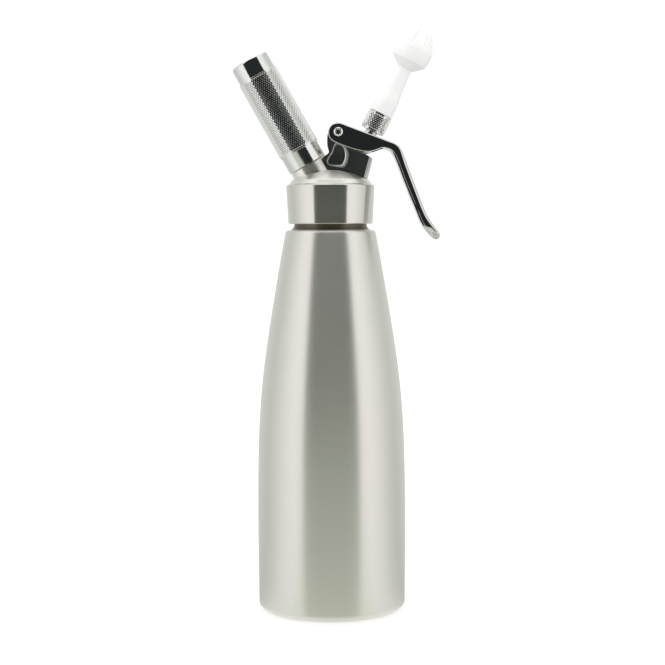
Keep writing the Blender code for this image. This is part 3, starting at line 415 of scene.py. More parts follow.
rubberLook = {
    "colour": (0.018, 0.018, 0.018), "shades": ((0.018, 0.018, 0.018), (0.0324, 0.0324, 0.0324)),
    "roughness": 0.55, "vary": 0.08, "cloud": (0.004, 0.004, 0.004), "speck": (0.0003, 0.0003, 0.0003),
    "bump": 0.25, "depth": 0.00005,
}
plasticLook = {
    "colour": (0.97, 0.97, 0.955), "shades": ((0.94, 0.94, 0.925), (0.97, 0.97, 0.955)), "roughness": 0.4,
    "vary": 0.06, "cloud": (0.006, 0.006, 0.012), "speck": (0.0005, 0.0005, 0.0005), "bump": 0.15,
    # painted light: the last value is a glow that brightens the tip
    "depth": 0.00004, "glow": 0.25, "reach": 0.003, "through": 0.1,
}

bodySteel = metal("brushed body steel", bodySteelLook)
capSteel = metal("turned head steel", capSteelLook)
blockSteel = metal("polished block steel", blockSteelLook, valvePlace)
mirrorSteel = metal("mirror polished steel", mirrorSteelLook, valvePlace)
valveSteel = metal("turned valve steel", brightSteelLook, valvePlace)
holderSteel = metal("polished holder steel", brightSteelLook, holderPlace)
pivotSteel = metal("bright screw steel", brightSteelLook, pivotPlace @ alongWidth)
blackRubber = cloudy("black rubber", rubberLook)
tipPlastic = cloudy("cloudy white plastic", plasticLook, valvePlace)
print("finishes made")


bottle = {
    "shoulder": 0.2476, "radius": 0.0482, "wall": 0.001, "segments": 160,
    "body": (
        (0.992, 0.612), (0.95, 0.654), (0.9, 0.699), (0.85, 0.7435), (0.8, 0.7865), (0.75, 0.8275),
        (0.7, 0.8665), (0.65, 0.902), (0.6, 0.932), (0.55, 0.9555), (0.5, 0.973), (0.45, 0.985),
        (0.4, 0.9925), (0.35, 0.997), (0.3, 0.9993), (0.25, 1), (0.2, 1), (0.15, 0.9985), (0.1, 0.996),
    ),
    "shoulderRound": 0.0022, "footRound": 0.005, "footShare": 0.991,
    "footRing": 0.034, "grooveInner": 0.024, "grooveDepth": 0.0012, "grooveSlope": 0.0015,
    "neckRadius": 0.0236, "neckRound": 0.004, "neckHeight": 0.0184,
    "crest": 0.02402, "pitch": 0.003, "turns": 2.6, "threadFoot": 0.0065, "threadHalf": 0.0009,
}


def makeBottle(size):
    radius, shoulder, neck, soft = take(size, "radius shoulder neckRadius neckRound")
    body = smoothLine([(radius * wide, shoulder * high) for high, wide in size["body"]], 6)
    body = [(min(wide, radius), high) for wide, high in body]
    profile = [(neck, shoulder + size["neckHeight"])]
    profile += arcPoints((neck + soft, shoulder + soft), soft, 180, 270, 8)
    turn = size["shoulderRound"]
    profile += arcPoints((body[0][0] - turn, shoulder - turn), turn, 90, 14, 6) + body[1:]
    turn = size["footRound"]
    profile += arcPoints((size["footShare"] * radius - turn, turn), turn, 0, -90, 8)
    ring, inner, deep, slope = take(size, "footRing grooveInner grooveDepth grooveSlope")
    base = [profile[-1], (ring, 0), (ring - slope, deep), (inner + slope, deep), (inner, 0), (0, 0)]
    profile += softCorners(base, 0.0006, 2, least=10)[1:]
    piece = addWall(turned("bottle_body", profile, None, size["segments"]), size["wall"])
    addThread(piece, size, neck, shoulder)
    dress(piece, bodySteel, "bottle", "bottle", sharp=35)


def ringPiece(name, outline, place, material, body, node, soft=0.0003, steps=3, segments=72):
    piece = turned(name, softCorners(outline, soft, steps, closed=True), place, segments, closed=True)
    return dress(piece, material, body, node, sharp=50)


def makeRing(name, inner, outer, low, high, place, body, node, material=blackRubber, soft=0.0003):
    ringPiece(name, ringLine(high, (outer, low), (inner, high)), place, material, body, node, soft)


makeBottle(bottle)
makeRing("neck_gasket", 0.0201, 0.0239, 0.2663, 0.2683, bottlePlace, "head_seal", "head_gasket")
print("bottle made")


head = {
    "skirtFoot": 0.2517, "skirtTop": 0.2771, "topRadius": 0.0288, "footRadius": 0.0275, "skirtRound": 0.0009,
    "footChamfer": 0.0006, "bore": 0.0243, "crownRadius": 0.0499, "crownEdge": 0.0243, "domeTop": 0.2872,
    "domeFoot": ((0.0251, 0.2802), (0.0258, 0.2793), (0.0265, 0.2782), (0.0271, 0.27745), (0.0278, 0.2771)),
    "ceiling": 0.2772, "ceilingRadius": 0.0192, "gasketSeat": 0.2686, "segments": 144,
    "bossRadius": 0.0086, "bossFace": 0.0145, "bushTop": 0.0306, "bushBore": 0.0065,
}
post = {
    "seat": 0.03, "depth": 0.02, "radius": 0.0123, "spigot": 0.009, "spigotHeight": 0.0085, "crest": 0.00955,
    "pitch": 0.0014, "turns": 4.5, "threadFoot": 0.0012, "threadHalf": 0.0004,
    "bossRadius": 0.0065, "bossDepth": 0.016, "ledge": 0.0229, "bore": 0.006, "tailBore": 0.0029,
    "sleeveSeat": 0.0147, "recess": 0.0048, "clearTop": 0.11,
}


def domeLine(size, rise):  # the dome's outline from its top to the ledge round it
    centre = size["domeTop"] - size["crownRadius"]
    edge = degrees(acos(size["crownEdge"] / size["crownRadius"]))
    crown = arcPoints((0, centre), size["crownRadius"], 90, edge, 14)
    foot = smoothLine([crown[-1], *size["domeFoot"]], 4)[1:]
    return [(radius, height + rise) for radius, height in [(0, size["domeTop"])] + crown[1:] + foot]


def makeHead(size, post):
    turn, foot, chamfer = take(size, "skirtRound skirtFoot footChamfer")
    skirt = arcPoints((size["topRadius"] - turn, size["skirtTop"] - turn), turn, 75, 0, 6)
    skirt += [(size["footRadius"], foot + chamfer), (size["footRadius"] - chamfer, foot), (0, foot)]
    piece = turned("head_shell", domeLine(size, 0) + skirt, None, size["segments"])

    seat, top = post["seat"], post["seat"] + post["spigotHeight"]
    column = stepLine(top, (post["spigot"], seat - fit), (post["radius"], seat - post["depth"]))
    cut(piece, softCorners(column, 0.0004, 2), holderPlace, 96, "UNION")

    parts = (size["ceilingRadius"], size["gasketSeat"]), (size["bore"], foot - past)
    hollow = turned("hollow", stepLine(size["ceiling"], *parts), None, 96)
    cut(hollow, stepLine(size["bushTop"], (size["bossRadius"], size["bossFace"])), valvePlace)
    inletFace = seat - post["bossDepth"]
    cut(hollow, stepLine(seat, (post["bossRadius"], inletFace)), holderPlace)
    combine(piece, hollow)

    cut(piece, stepLine(size["bushTop"] + past, (size["bushBore"], 0)), valvePlace)
    parts = (post["bore"], post["ledge"]), (post["tailBore"], post["sleeveSeat"])
    cut(piece, stepLine(top + past, *parts, (post["recess"], inletFace - past)), holderPlace)
    addThread(piece, post, post["spigot"], seat, 48, holderPlace)
    dress(piece, capSteel, "head", "head_cap", sharp=30, flat=True)


makeHead(head, post)
print("head made")


block = {
    "width": 0.0164, "top": 0.0423, "endTop": 0.0092, "endFoot": 0.0142, "endCrown": 0.0138, "chamfer": 0.001,
    "footDepth": 0.022, "earRadius": 0.0056, "earReach": 0.0185, "earFront": 0.0068, "edge": 0.0005,
    "cornerRound": 0.0018, "back": ((-0.3, -0.23), (-0.13, -0.58), (0.03, -0.78), (-0.065, -1)),
    "web": 0.008, "pocketReach": 0.023, "pocketLip": 0.00025, "pocketRound": 0.0034, "pocketLeft": 0.0006,
    "pocketSoft": 0.0024,
    "pocket": (
        (0.08, -0.3), (0.075, -0.42), (0.11, -0.56), (0.085, -0.87), (0.19, -0.945), (0.57, -0.83),
        (0.615, -0.74), (0.605, -0.56), (0.53, -0.39), (0.4, -0.29), (0.24, -0.265),
    ),
    "collarRecess": 0.0021, "recessRadius": 0.0067, "springPocket": 0.00585,
}
lever = {
    "arm": 0.0189, "rise": 0.0468, "width": 0.0224, "cheek": 0.0027, "eye": 0.0066, "eyeDrop": 0.08,
    "reach": 0.0657, "drop": 0.07, "slope": 19.9, "plate": 0.0026, "plateStart": 0.0069, "channelEnd": 0.029,
    "outer": (
        (0.55, -0.104), (0.596, -0.135), (0.635, -0.192), (0.679, -0.3), (0.77, -0.527), (0.864, -0.751),
        (0.936, -0.862), (0.987, -0.925),
    ),
    "tip": ((1, -0.95), (0.995, -0.982), (0.975, -0.998), (0.945, -0.99)),
    "inner": (
        (0.91, -0.963), (0.825, -0.864), (0.749, -0.696), (0.651, -0.47), (0.583, -0.301), (0.548, -0.226),
        (0.508, -0.171), (0.44, -0.15), (0.37, -0.17), (0.291, -0.186), (0.18, -0.168), (0.06, -0.133),
    ),
    "handleWidth": 0.018, "taperTop": 0.011, "taperDrop": 0.04,
    "eyeRound": 0.0009, "topRound": 0.0014, "barRound": 0.0026, "tipRound": 0.0011, "lowerRound": 0.0006,
    "step": (
        (0, 0.0007), (0.0001, 0.0004), (0.0004, 0.00028), (0.0009, 0.00028), (0.0012, 0.00026),
        (0.00135, 0.0001), (0.0015, 0.00004), (0.0018, 0), (0.0021, 0),
    ),
    "slotHalf": 0.0045, "slotSwing": 0.0018, "slotReach": 0.0132, "noseRadius": 0.002,
    "noseSide": 0.00465, "noseSink": 0.0009, "squeeze": 12, "pivotBore": 0.0029, "headBore": 0.0035,
}


def blockOutline(size):
    pivot, top, end, chamfer = (-lever["arm"], lever["rise"]), size["top"], size["endTop"], size["chamfer"]
    back = [(pivot[0] + x, pivot[1] + z) for x, z in scaled(size["back"], size["earReach"], size["earReach"])]
    foot = top - size["footDepth"]
    ear = arcPoints(pivot, size["earRadius"], 0, 165, 28)
    behind = smoothLine([ear[-1]] + back, 6)[1:]
    front = [(back[-1][0], foot), (size["endFoot"], foot), (end, top - chamfer), (end - chamfer, top)]
    return ear + behind + front + [(pivot[0] + size["earFront"], top)]


def evenly(points, count):  # the same line with evenly spaced points
    lengths = [0]
    for first, last in zip(points, points[1:]):
        lengths.append(lengths[-1] + dist(first, last))
    result, place = [], 0
    for step in range(count):
        target = lengths[-1] * step / (count - 1)
        while place < len(points) - 2 and lengths[place + 1] < target:
            place += 1
        share = (target - lengths[place]) / max(lengths[place + 1] - lengths[place], 1e-9)
        result.append(tuple(Vector(points[place]).lerp(Vector(points[place + 1]), share)))
    return result


def outward(points):  # the unit vectors that point out of a closed outline
    count = len(points)
    area = sum(a[0] * b[1] - b[0] * a[1] for a, b in zip(points, points[1:] + points[:1]))
    turn = 1 if area > 0 else -1
    result = []
    for place in range(count):
        along = Vector(points[(place + 1) % count]) - Vector(points[place - 1])
        result.append(Vector((along.y, -along.x)).normalized() * turn)
    return result


def evened(values, passes):  # a closed list of numbers or vectors with its jumps smoothed
    for _ in range(passes):
        trios = zip(values[-1:] + values, values, values[1:] + values[:1])
        values = [(before + value + after) / 3 for before, value, after in trios]
    return values


def pocketShape(size, side):  # a cutter with a rounded lip and a floor that sweeps up into the far wall
    reach = size["pocketReach"]
    outline = [(x - lever["arm"], z + lever["rise"]) for x, z in scaled(size["pocket"], reach, reach)]
    outline = softCorners(outline, size["pocketSoft"], 5, closed=True, least=8)
    outline = evenly(outline + outline[:1], 97)[:-1]
    out = [normal.normalized() for normal in evened(outward(outline), 2)]
    low, high = min(x for x, z in outline), max(x for x, z in outline)
    sweeps = []
    for (x, z), normal in zip(outline, out):
        share = min(1, max(0, ((x - low) / (high - low) - 0.35) / 0.4)) * max(0, normal.x) ** 0.5
        sweeps.append(size["pocketLeft"] + share * (size["pocketRound"] - size["pocketLeft"]))
    sweeps = evened(sweeps, 6)
    half, lip = size["width"] / 2, size["pocketLip"]
    depth = half - size["web"] / 2
    levels = [[(lip, -past)] * len(outline)]
    for step in range(7):
        turn = radians(15 * step)
        levels.append([(lip * (1 - sin(turn)), lip * (1 - cos(turn)))] * len(outline))
    for step in range(13):
        turn = radians(7.5 * step)
        levels.append([(-w * (1 - cos(turn)), depth - w + w * sin(turn)) for w in sweeps])
    rings = []
    for level in levels:
        rings.append([
            (x + normal.x * grow, side * (half - sink), z + normal.y * grow)
            for (x, z), normal, (grow, sink) in zip(outline, out, level)
        ])
    return joinRings(rings)


def endPlan(size):  # the block seen from above, with a crowned end that leans out towards the foot
    half, crown, top = size["width"] / 2, size["endCrown"], size["top"]
    turn = degrees(asin(half / crown))
    lean = (size["endFoot"] - size["endTop"]) / size["footDepth"]
    rings = []
    for height in (top - size["footDepth"] - 0.01, top + 0.02):
        end = size["endTop"] + lean * (top - height)
        line = [(-0.045, -half), *arcPoints((end - crown, 0), crown, -turn, turn, 16), (-0.045, half)]
        line = softCorners(line, size["cornerRound"], 7, least=20)
        rings.append([(x, y, height) for x, y in line])
    return joinRings(rings)


def makeBlock(size):
    deep = size["width"] / 2 + past
    piece = slab("valve_block_polished", blockOutline(size), -deep, deep)
    combine(piece, makePiece("plan", endPlan(size)), "INTERSECT")
    roundEdges(piece, size["edge"], 3, 42)
    piece.data.transform(valvePlace)

    seat = domeLine(head, fit)
    cut(piece, seat + [(seat[-1][0], head["skirtFoot"]), (0, head["skirtFoot"])], None, 144)
    gap, sweep, level = post["radius"] + fit, holder["gripRadius"] + fit, post["seat"] - 2 * fit
    cut(piece, stepLine(post["clearTop"], (sweep, level), (gap, 0)), holderPlace, 128)
    for side in (-1, 1):
        combine(piece, makePiece("pocket", pocketShape(size, side), valvePlace))

    top, recess, bushEnd = size["top"], size["recessRadius"], head["bushTop"] + fit
    parts = (recess, top - size["collarRecess"]), (size["springPocket"], bushEnd), (head["bushBore"], 0)
    bore = [(0, top + past), (recess + 0.0004, top + past)] + stepLine(top - 0.0004, *parts)[1:]
    cut(piece, bore, valvePlace, 96)
    cut(piece, stepLine(deep, (lever["pivotBore"], -deep)), pivotPlace @ alongWidth, 48)
    dress(piece, blockSteel, "head", "valve_block", sharp=24, flat=True)


def leverOutline(size):  # the parts of the outline, in turn: eye and top, bar outside, bar inside, underside
    eye = arcPoints((0, -size["eyeDrop"] * size["eye"]), size["eye"], 245, 90 - size["slope"], 40)
    reach, drop = take(size, "reach drop")
    outer, tip, inner = (scaled(size[part], reach, drop) for part in ("outer", "tip", "inner"))
    shoulder = tuple(Vector(outer[0]) + (Vector(eye[-1]) - Vector(outer[0])).normalized() * 0.0035)
    line = smoothLine([shoulder] + outer + tip + inner + [eye[0]], 6)
    line = [(min(x, reach - 0.00002), max(z, -drop)) for x, z in line]
    bend = 6 * 2
    end = 6 * (len(outer) + 3)
    back = 6 * (len(outer) + len(tip) + 7)
    outside, inside = evenly(line[bend:end + 1], 61), evenly(line[end:back + 1], 61)[1:]
    return eye + line[:bend], outside, inside, line[back + 1:-1]


def barWidth(size, height):  # half the width at a height
    top, handle = size["taperTop"], size["handleWidth"] / 2
    share = min(1, max(0, (-height - top) / (size["taperDrop"] - top)))
    wide = size["width"] / 2 * (1 - share) + handle * share
    over = -height - (size["drop"] - handle)
    if over > 0:
        wide = sqrt(max(0, handle**2 - over**2))
    return max(wide, 0.0012)


def banded(count, *bands):  # values along a line, each band with the share where it ends
    return [next(value for end, value in bands if place / count < end) for place in range(count)]


def leverShape(size):
    upper, outside, inside, under = leverOutline(size)
    outline = upper + outside + inside + under
    start, turnBack, last = len(upper), len(upper + outside), len(upper + outside + inside) - 1
    eye, top, bar, tip, low = take(size, "eyeRound topRound barRound tipRound lowerRound")
    rounds = banded(start, (30 / start, eye), (1, top))
    rounds += banded(len(outside), (0.08, top), (0.86, bar), (1, tip))
    rounds += banded(len(inside), (0.14, tip), (0.9, bar), (1, low)) + [low] * len(under)
    stepped = [0] * turnBack + banded(len(inside), (0.12, 0), (0.96, 1), (1, 0)) + [0] * len(under)
    out = [normal.normalized() for normal in evened(outward(outline), 1)]
    stepped = evened(stepped, 10)
    widths = [barWidth(size, z) for x, z in outline]
    rounds = [min(turn, 0.8 * wide) for turn, wide in zip(evened(rounds, 14), widths)]
    rings = []
    for side, order in ((-1, range(9)), (1, range(8, -1, -1))):
        for step in order:
            angle = radians(11.25 * step)
            ring = []
            for (x, z), normal, turn, wide, mix in zip(outline, out, rounds, widths, stepped):
                edge = Vector((turn * (1 - sin(angle)), turn * (1 - cos(angle))))
                inset, sink = edge.lerp(Vector(size["step"][8 - step]), mix)
                ring.append((x - normal.x * inset, side * (wide - sink), z - normal.y * inset))
            rings.append(ring)
    ends = []  # strips across the bar, then one face over the rest
    for step in range(len(outside) - 1):
        far = last - step
        near = [far - 1] if far > turnBack else []
        ends.append([start + step, start + step + 1, *near, far])
    ends.append([*range(start + 1), *range(last, len(outline))])
    return joinRings(rings, ends)


def makeLever(size):
    half = size["width"] / 2
    piece = makePiece("squeeze_lever", leverShape(size))
    slope = radians(size["slope"])
    drop = size["eyeDrop"] * size["eye"]
    topLine = size["eye"] / cos(slope) - drop
    front, end = take(size, "plateStart channelEnd")
    under = [(x, topLine - tan(slope) * x - size["plate"] / cos(slope)) for x in (front, end)]
    channel = [(-0.013, 0.013), (front, 0.013), *under, (end, -0.035), (-0.013, -0.035)]
    cheek = half - size["cheek"]
    combine(piece, slab("channel", softCorners(channel, 0.0012, 4, closed=True), -cheek, cheek))

    valveLean = atan2(valvePlace[0][2], valvePlace[2][2])
    lean = Matrix.Rotation(valveLean, 4, "Y")
    squeezeHalf = radians(size["squeeze"] / 2)
    across, along = size["arm"] * cos(squeezeHalf), size["arm"] * sin(squeezeHalf)
    rise = valveLean - slope
    noseTop = (size["eye"] - drop * cos(slope)) / cos(rise) + across * tan(rise)
    noseTop -= size["plate"] / 2
    radius, side = take(size, "noseRadius noseSide")
    rib = arcPoints((across, along), radius, 180, 360, 12)
    rib += [(across + radius, noseTop), (across - radius, noseTop)]
    outer = cheek + size["noseSink"]
    for low, high in ((-outer, -side), (side, outer)):
        combine(piece, slab("nose", rib, low, high, lean), "UNION")
    slot = arcPoints((size["arm"], 0), size["slotHalf"], -90, 90, 18)
    slot += arcPoints((size["arm"] - size["slotSwing"], 0), size["slotHalf"], 90, 270, 18)
    reach = size["slotReach"]
    stand = Matrix.Translation((0, 0, reach + along)) @ alongWidth
    combine(piece, slab("slot", slot, -reach, reach, lean @ stand))
    hole, seat = take(size, "pivotBore headBore")
    sink = half + pivotPin["proud"] - pivotPin["headHeight"] - fit
    cut(piece, stepLine(half + past, (seat, sink), (hole, -sink), (seat, -half - past)), alongWidth)
    piece.data.transform(pivotPlace)
    dress(piece, mirrorSteel, "lever", "lever", sharp=24, flat=True)


pivotPin = {
    "sleeve": 0.0026, "sleeveBore": 0.0018, "head": 0.0032, "headHeight": 0.0013, "proud": 0.0003,
    "shank": 0.0015, "shankLength": 0.009, "flats": 0.0032, "socketDepth": 0.0011,
    "flatHead": 0.0019, "coneHead": 0.0029, "coneSink": 0.0005,
}


def makePivot(size):
    out = lever["width"] / 2 + size["proud"]
    inside = out - size["headHeight"]
    place = pivotPlace @ alongWidth
    parts = (size["sleeve"], -inside), (size["head"], -out), (size["sleeveBore"], inside - fit)
    sleeve = ringLine(inside - fit, *parts)
    ringPiece("pivot_sleeve_turned", sleeve, place, pivotSteel, "head", "pivot_sleeve", segments=64)
    cone = out - size["coneSink"]
    screw = [(0, out), (size["flatHead"], out), (size["coneHead"], cone)]
    parts = (size["head"], inside), (size["shank"], inside - size["shankLength"])
    screw += stepLine(cone - 0.0004, *parts)[1:]
    piece = turned("pivot_screw_turned", softCorners(screw, 0.0002, 3), None, 64)
    hexagon = [around(size["flats"] / sqrt(3), tau * side / 6, 0)[:2] for side in range(6)]
    tool = slab("socket", hexagon, -past, size["socketDepth"], Matrix.Translation((0, 0, out)) @ alongWidth)
    combine(piece, tool)
    piece.data.transform(place)
    dress(piece, pivotSteel, "head", "pivot_screw", sharp=35)


valve = {
    "bushRadius": 0.0062, "bushTop": 0.0306, "flangeTop": 0.0131, "flange": 0.008, "seat": 0.0111,
    "bore": 0.0043, "stem": 0.004, "stemBore": 0.0022, "boreFoot": 0.0161, "stemTop": 0.06605, "neck": 0.0026,
    "portCollar": 0.0034, "portCollarFoot": 0.0145, "port": 0.0011, "portHeight": 0.0175, "portReach": 0.008,
    "collar": 0.0063, "collarHeight": 0.002, "ringWire": 0.0004, "ringRises": (0.0098, 0.0172),
    "poppet": 0.0054, "poppetHeight": 0.002, "poppetBore": 0.0029, "sealHeight": 0.0012, "spigot": 0.0019,
    "shoulderRise": 0.0078,
    "springRadius": 0.005, "springWire": 0.00045, "springTurns": 6, "endPitch": 0.0014,
}


def stemLevels(size):
    half = radians(lever["squeeze"] / 2)
    collarTop = lever["rise"] + lever["arm"] * sin(half) - lever["noseRadius"] - fit
    poppetTop = size["seat"] - size["sealHeight"] - 2 * fit
    return collarTop, collarTop - size["collarHeight"], poppetTop, poppetTop - size["poppetHeight"]


def coil(points, radius, sides=10):  # a round wire along the points, closed at both ends
    turns = [tau * step / sides for step in range(sides)]
    rings = []
    for place, point in enumerate(points):
        ahead = (points[min(place + 1, len(points) - 1)] - points[max(place - 1, 0)]).normalized()
        out = Vector((point.x, point.y, 0)).normalized()
        side = ahead.cross(out).normalized()
        rings.append([point + radius * (out * cos(turn) + side * sin(turn)) for turn in turns])
    return joinRings(rings)


def makeValve(size):
    collarTop, collarFoot, poppetTop, poppetFoot = stemLevels(size)
    seat, bushTop, stemRadius, wire = take(size, "seat bushTop stem ringWire")
    parts = (size["bushRadius"], size["flangeTop"]), (size["flange"], seat), (size["bore"], bushTop)
    bush = ringLine(bushTop, *parts)
    ringPiece("valve_bush_turned", bush, valvePlace, valveSteel, "head", "valve_bush", steps=2)
    makeRing("bush_ring", 0.0065, 0.008, 0.0134, 0.0142, valvePlace, "head", "bush_gasket", soft=0.0002)

    parts = [(size["stemBore"], size["stemTop"]), (stemRadius, collarTop), (size["collar"], collarFoot)]
    half = wire + fit
    for rise in reversed(size["ringRises"]):
        middle = seat + rise
        parts += [(stemRadius, middle + half), (stemRadius - 2 * wire - fit, middle - half)]
    parts += [
        (stemRadius, seat + size["shoulderRise"]), (size["portCollar"], size["portCollarFoot"]),
        (size["neck"], poppetTop + fit), (size["spigot"], poppetFoot),
    ]
    stem = softCorners(stepLine(size["boreFoot"], *parts), 0.0002, 2)
    piece = turned("valve_stem_turned", stem, None, 72)
    port = turned("port", stepLine(size["portReach"], (size["port"], -size["portReach"])), alongWidth, 24)
    port.data.transform(Matrix.Translation((0, 0, size["portHeight"])))
    combine(piece, port)
    piece.data.transform(valvePlace)
    dress(piece, valveSteel, "stem", "valve_stem", sharp=40)

    for node, rise in zip(("stem_o_ring", "stem_wiper"), size["ringRises"]):
        line = arcPoints((stemRadius - wire, seat + rise), wire, 0, 337.5, 15)
        piece = turned(node + "_round", line, valvePlace, 72, closed=True)
        dress(piece, blackRubber, "stem", node, sharp=60)
    top, bore, poppet = seat - fit, size["poppetBore"], size["poppet"]
    makeRing("poppet_ring", bore, poppet, top - size["sealHeight"], top, valvePlace, "stem", "poppet_seal")
    bore, low, high = size["spigot"] + fit, poppetFoot, poppetTop
    makeRing("poppet_disc", bore, poppet, low, high, valvePlace, "stem", "valve_poppet", valveSteel)

    low = bushTop + fit + size["springWire"]
    high = collarFoot - fit - size["springWire"]
    turns, perTurn, endPitch = size["springTurns"], 32, size["endPitch"]
    openPitch = (high - low - 2 * endPitch) / (turns - 2)
    points = []
    for step in range(turns * perTurn + 1):
        at = step / perTurn
        rise = endPitch * min(at, 1) + openPitch * max(0, min(at, turns - 1) - 1)
        rise += endPitch * max(0, at - turns + 1)
        points.append(Vector(around(size["springRadius"], tau * at, low + rise)))
    piece = makePiece("stem_spring_coiled", coil(points, size["springWire"]), valvePlace)
    dress(piece, valveSteel, "head", "stem_spring", sharp=60)
    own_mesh(piece)


holder = {
    "seat": 0.03, "lowerBand": 0.0108, "upperBand": 0.0114, "lowerRadius": 0.013, "upperRadius": 0.0128,
    "gripRadius": 0.0136, "topRound": 0.0014, "bore": 0.00975, "crown": 0.0018,
    "knurlStarts": 57, "knurlDepth": 0.00022, "knurlLength": 0.00251, "knurlTop": 0.7,
}
inlet = {
    "pinHolder": 0.0057, "top": 0.037, "foot": 0.0243, "tail": 0.0026, "tailLength": 0.0128,
    "pinBore": 0.0006, "pin": 0.0014, "pinFoot": 0.032, "pierce": 0.0034, "point": 0.002,
    "sealHeight": 0.0019, "sleeveHeight": 0.0021,
}
charger = {
    "length": 0.0657, "radius": 0.009, "neck": 0.0044, "neckLength": 0.0075, "shoulder": 0.008, "end": 0.0075,
    "wall": 0.0016,
}


def makeInlet(size):
    pin, pinBore, pinFoot, top, foot = take(size, "pin pinBore pinFoot top foot")
    bore, tailFoot = pin + fit, foot - size["tailLength"]
    parts = (size["pinHolder"], foot), (size["tail"], tailFoot), (pinBore, pinFoot - fit), (bore, top)
    body = ringLine(top, *parts)
    ringPiece("pin_holder_turned", body, holderPlace, holderSteel, "head", "pin_holder", steps=2, segments=64)
    makeRing("pin_ring", 0.0029, 0.0057, 0.0232, 0.024, holderPlace, "head", "pin_holder_seal", soft=0.0002)
    chargerFoot = top + size["sealHeight"] + 2 * fit
    tip = chargerFoot + size["pierce"]
    needle = [(pinBore + fit, tip)] + ringLine(tip - size["point"], (pin, pinFoot), (pinBore, tip))
    piece = turned("piercing_pin_ground", needle, holderPlace, 48, closed=True)
    dress(piece, holderSteel, "head", "piercing_pin", sharp=30)
    low = top + fit
    makeRing("charger_ring", bore, 0.0057, low, low + size["sealHeight"], holderPlace, "head", "charger_seal")
    low = post["sleeveSeat"] - fit - size["sleeveHeight"]
    high = low + size["sleeveHeight"]
    makeRing("inlet_sleeve", 0.0029, 0.0042, low, high, holderPlace, "head", "check_valve_sleeve")
    return chargerFoot


def makeCharger(size, foot):
    radius, neck = take(size, "radius neck")
    top = foot + size["length"]
    turns = [radians(turn) for turn in range(0, 91, 6)]
    end = [(radius * sin(turn), top - size["end"] + size["end"] * cos(turn)) for turn in turns]
    shoulderTop = foot + size["neckLength"] + size["shoulder"]
    blend = []
    for step in range(13):
        share = step / 12
        bend = (radius - neck) * share * share * (3 - 2 * share)
        blend.append((radius - bend, shoulderTop - size["shoulder"] * share))
    profile = [(0, top)] + end[1:] + blend + [(neck, foot), (inlet["pin"] + fit, foot)]
    piece = turned("gas_charger_drawn", softCorners(profile, 0.0004, 2, least=40), holderPlace, 96)
    dress(addWall(piece, size["wall"]), holderSteel, "charger", "gas_charger", sharp=40)
    return top


def knurlTree(material, values):  # four-sided studs in staggered rows round a cylinder
    tree = bpy.data.node_groups.new("diamond knurl", "GeometryNodeTree")
    tree.is_modifier = True
    sockets = tree.interface
    sockets.new_socket("Geometry", in_out="INPUT", socket_type="NodeSocketGeometry")
    names = {}
    for name, value in values.items():
        kind = "NodeSocketInt" if isinstance(value, int) else "NodeSocketFloat"
        names[name] = sockets.new_socket(name, in_out="INPUT", socket_type=kind).identifier
    sockets.new_socket("Geometry", in_out="OUTPUT", socket_type="NodeSocketGeometry")
    given = tree.nodes.new("NodeGroupInput").outputs
    starts = given["Starts"]

    def work(operation, *parts):
        return mathNode(tree, operation, *parts)

    def vector(x, y, z):
        return addNode(tree, "ShaderNodeCombineXYZ", {"X": x, "Y": y, "Z": z}).outputs["Vector"]

    line = addNode(tree, "GeometryNodeMeshLine", {"Count": work("MULTIPLY", given["Rows"], starts)})
    index = tree.nodes.new("GeometryNodeInputIndex").outputs["Index"]
    row = work("FLOOR", work("DIVIDE", work("ADD", index, 0.5), starts))
    step = work("SUBTRACT", index, work("MULTIPLY", row, starts))
    shift = work("MULTIPLY", work("MODULO", row, 2), 0.5)  # half a stud on every other row
    turn = work("MULTIPLY", work("DIVIDE", work("ADD", step, shift), starts), tau)
    inner = work("SUBTRACT", given["Radius"], given["Depth"])
    height = work("ADD", given["Foot"], work("MULTIPLY", given["Row height"], row))
    across, along = (work("MULTIPLY", inner, work(wave, turn)) for wave in ("COSINE", "SINE"))
    spot = vector(across, along, height)
    place = addNode(tree, "GeometryNodeSetPosition", {"Geometry": line.outputs["Mesh"], "Position": spot})
    facing = vector(pi / 2, 0, work("ADD", turn, pi / 2))
    topRadius = work("MULTIPLY", given["Top share"], 0.5)
    stud = {"Vertices": 4, "Radius Top": topRadius, "Radius Bottom": 0.5, "Depth": 1}
    stud = addNode(tree, "GeometryNodeMeshCone", stud).outputs["Mesh"]
    size = vector(given["Stud width"], given["Stud length"], given["Depth"])
    stud = addNode(tree, "GeometryNodeTransform", {"Geometry": stud, "Scale": size}).outputs["Geometry"]
    studs = {"Points": place.outputs["Geometry"], "Instance": stud, "Rotation": facing}
    studs = addNode(tree, "GeometryNodeInstanceOnPoints", studs).outputs["Instances"]
    real = addNode(tree, "GeometryNodeRealizeInstances", {"Geometry": studs}).outputs["Geometry"]
    paint = addNode(tree, "GeometryNodeSetMaterial", {"Geometry": real, "Material": material})
    addNode(tree, "NodeGroupOutput", {"Geometry": paint.outputs["Geometry"]})
    return tree, names


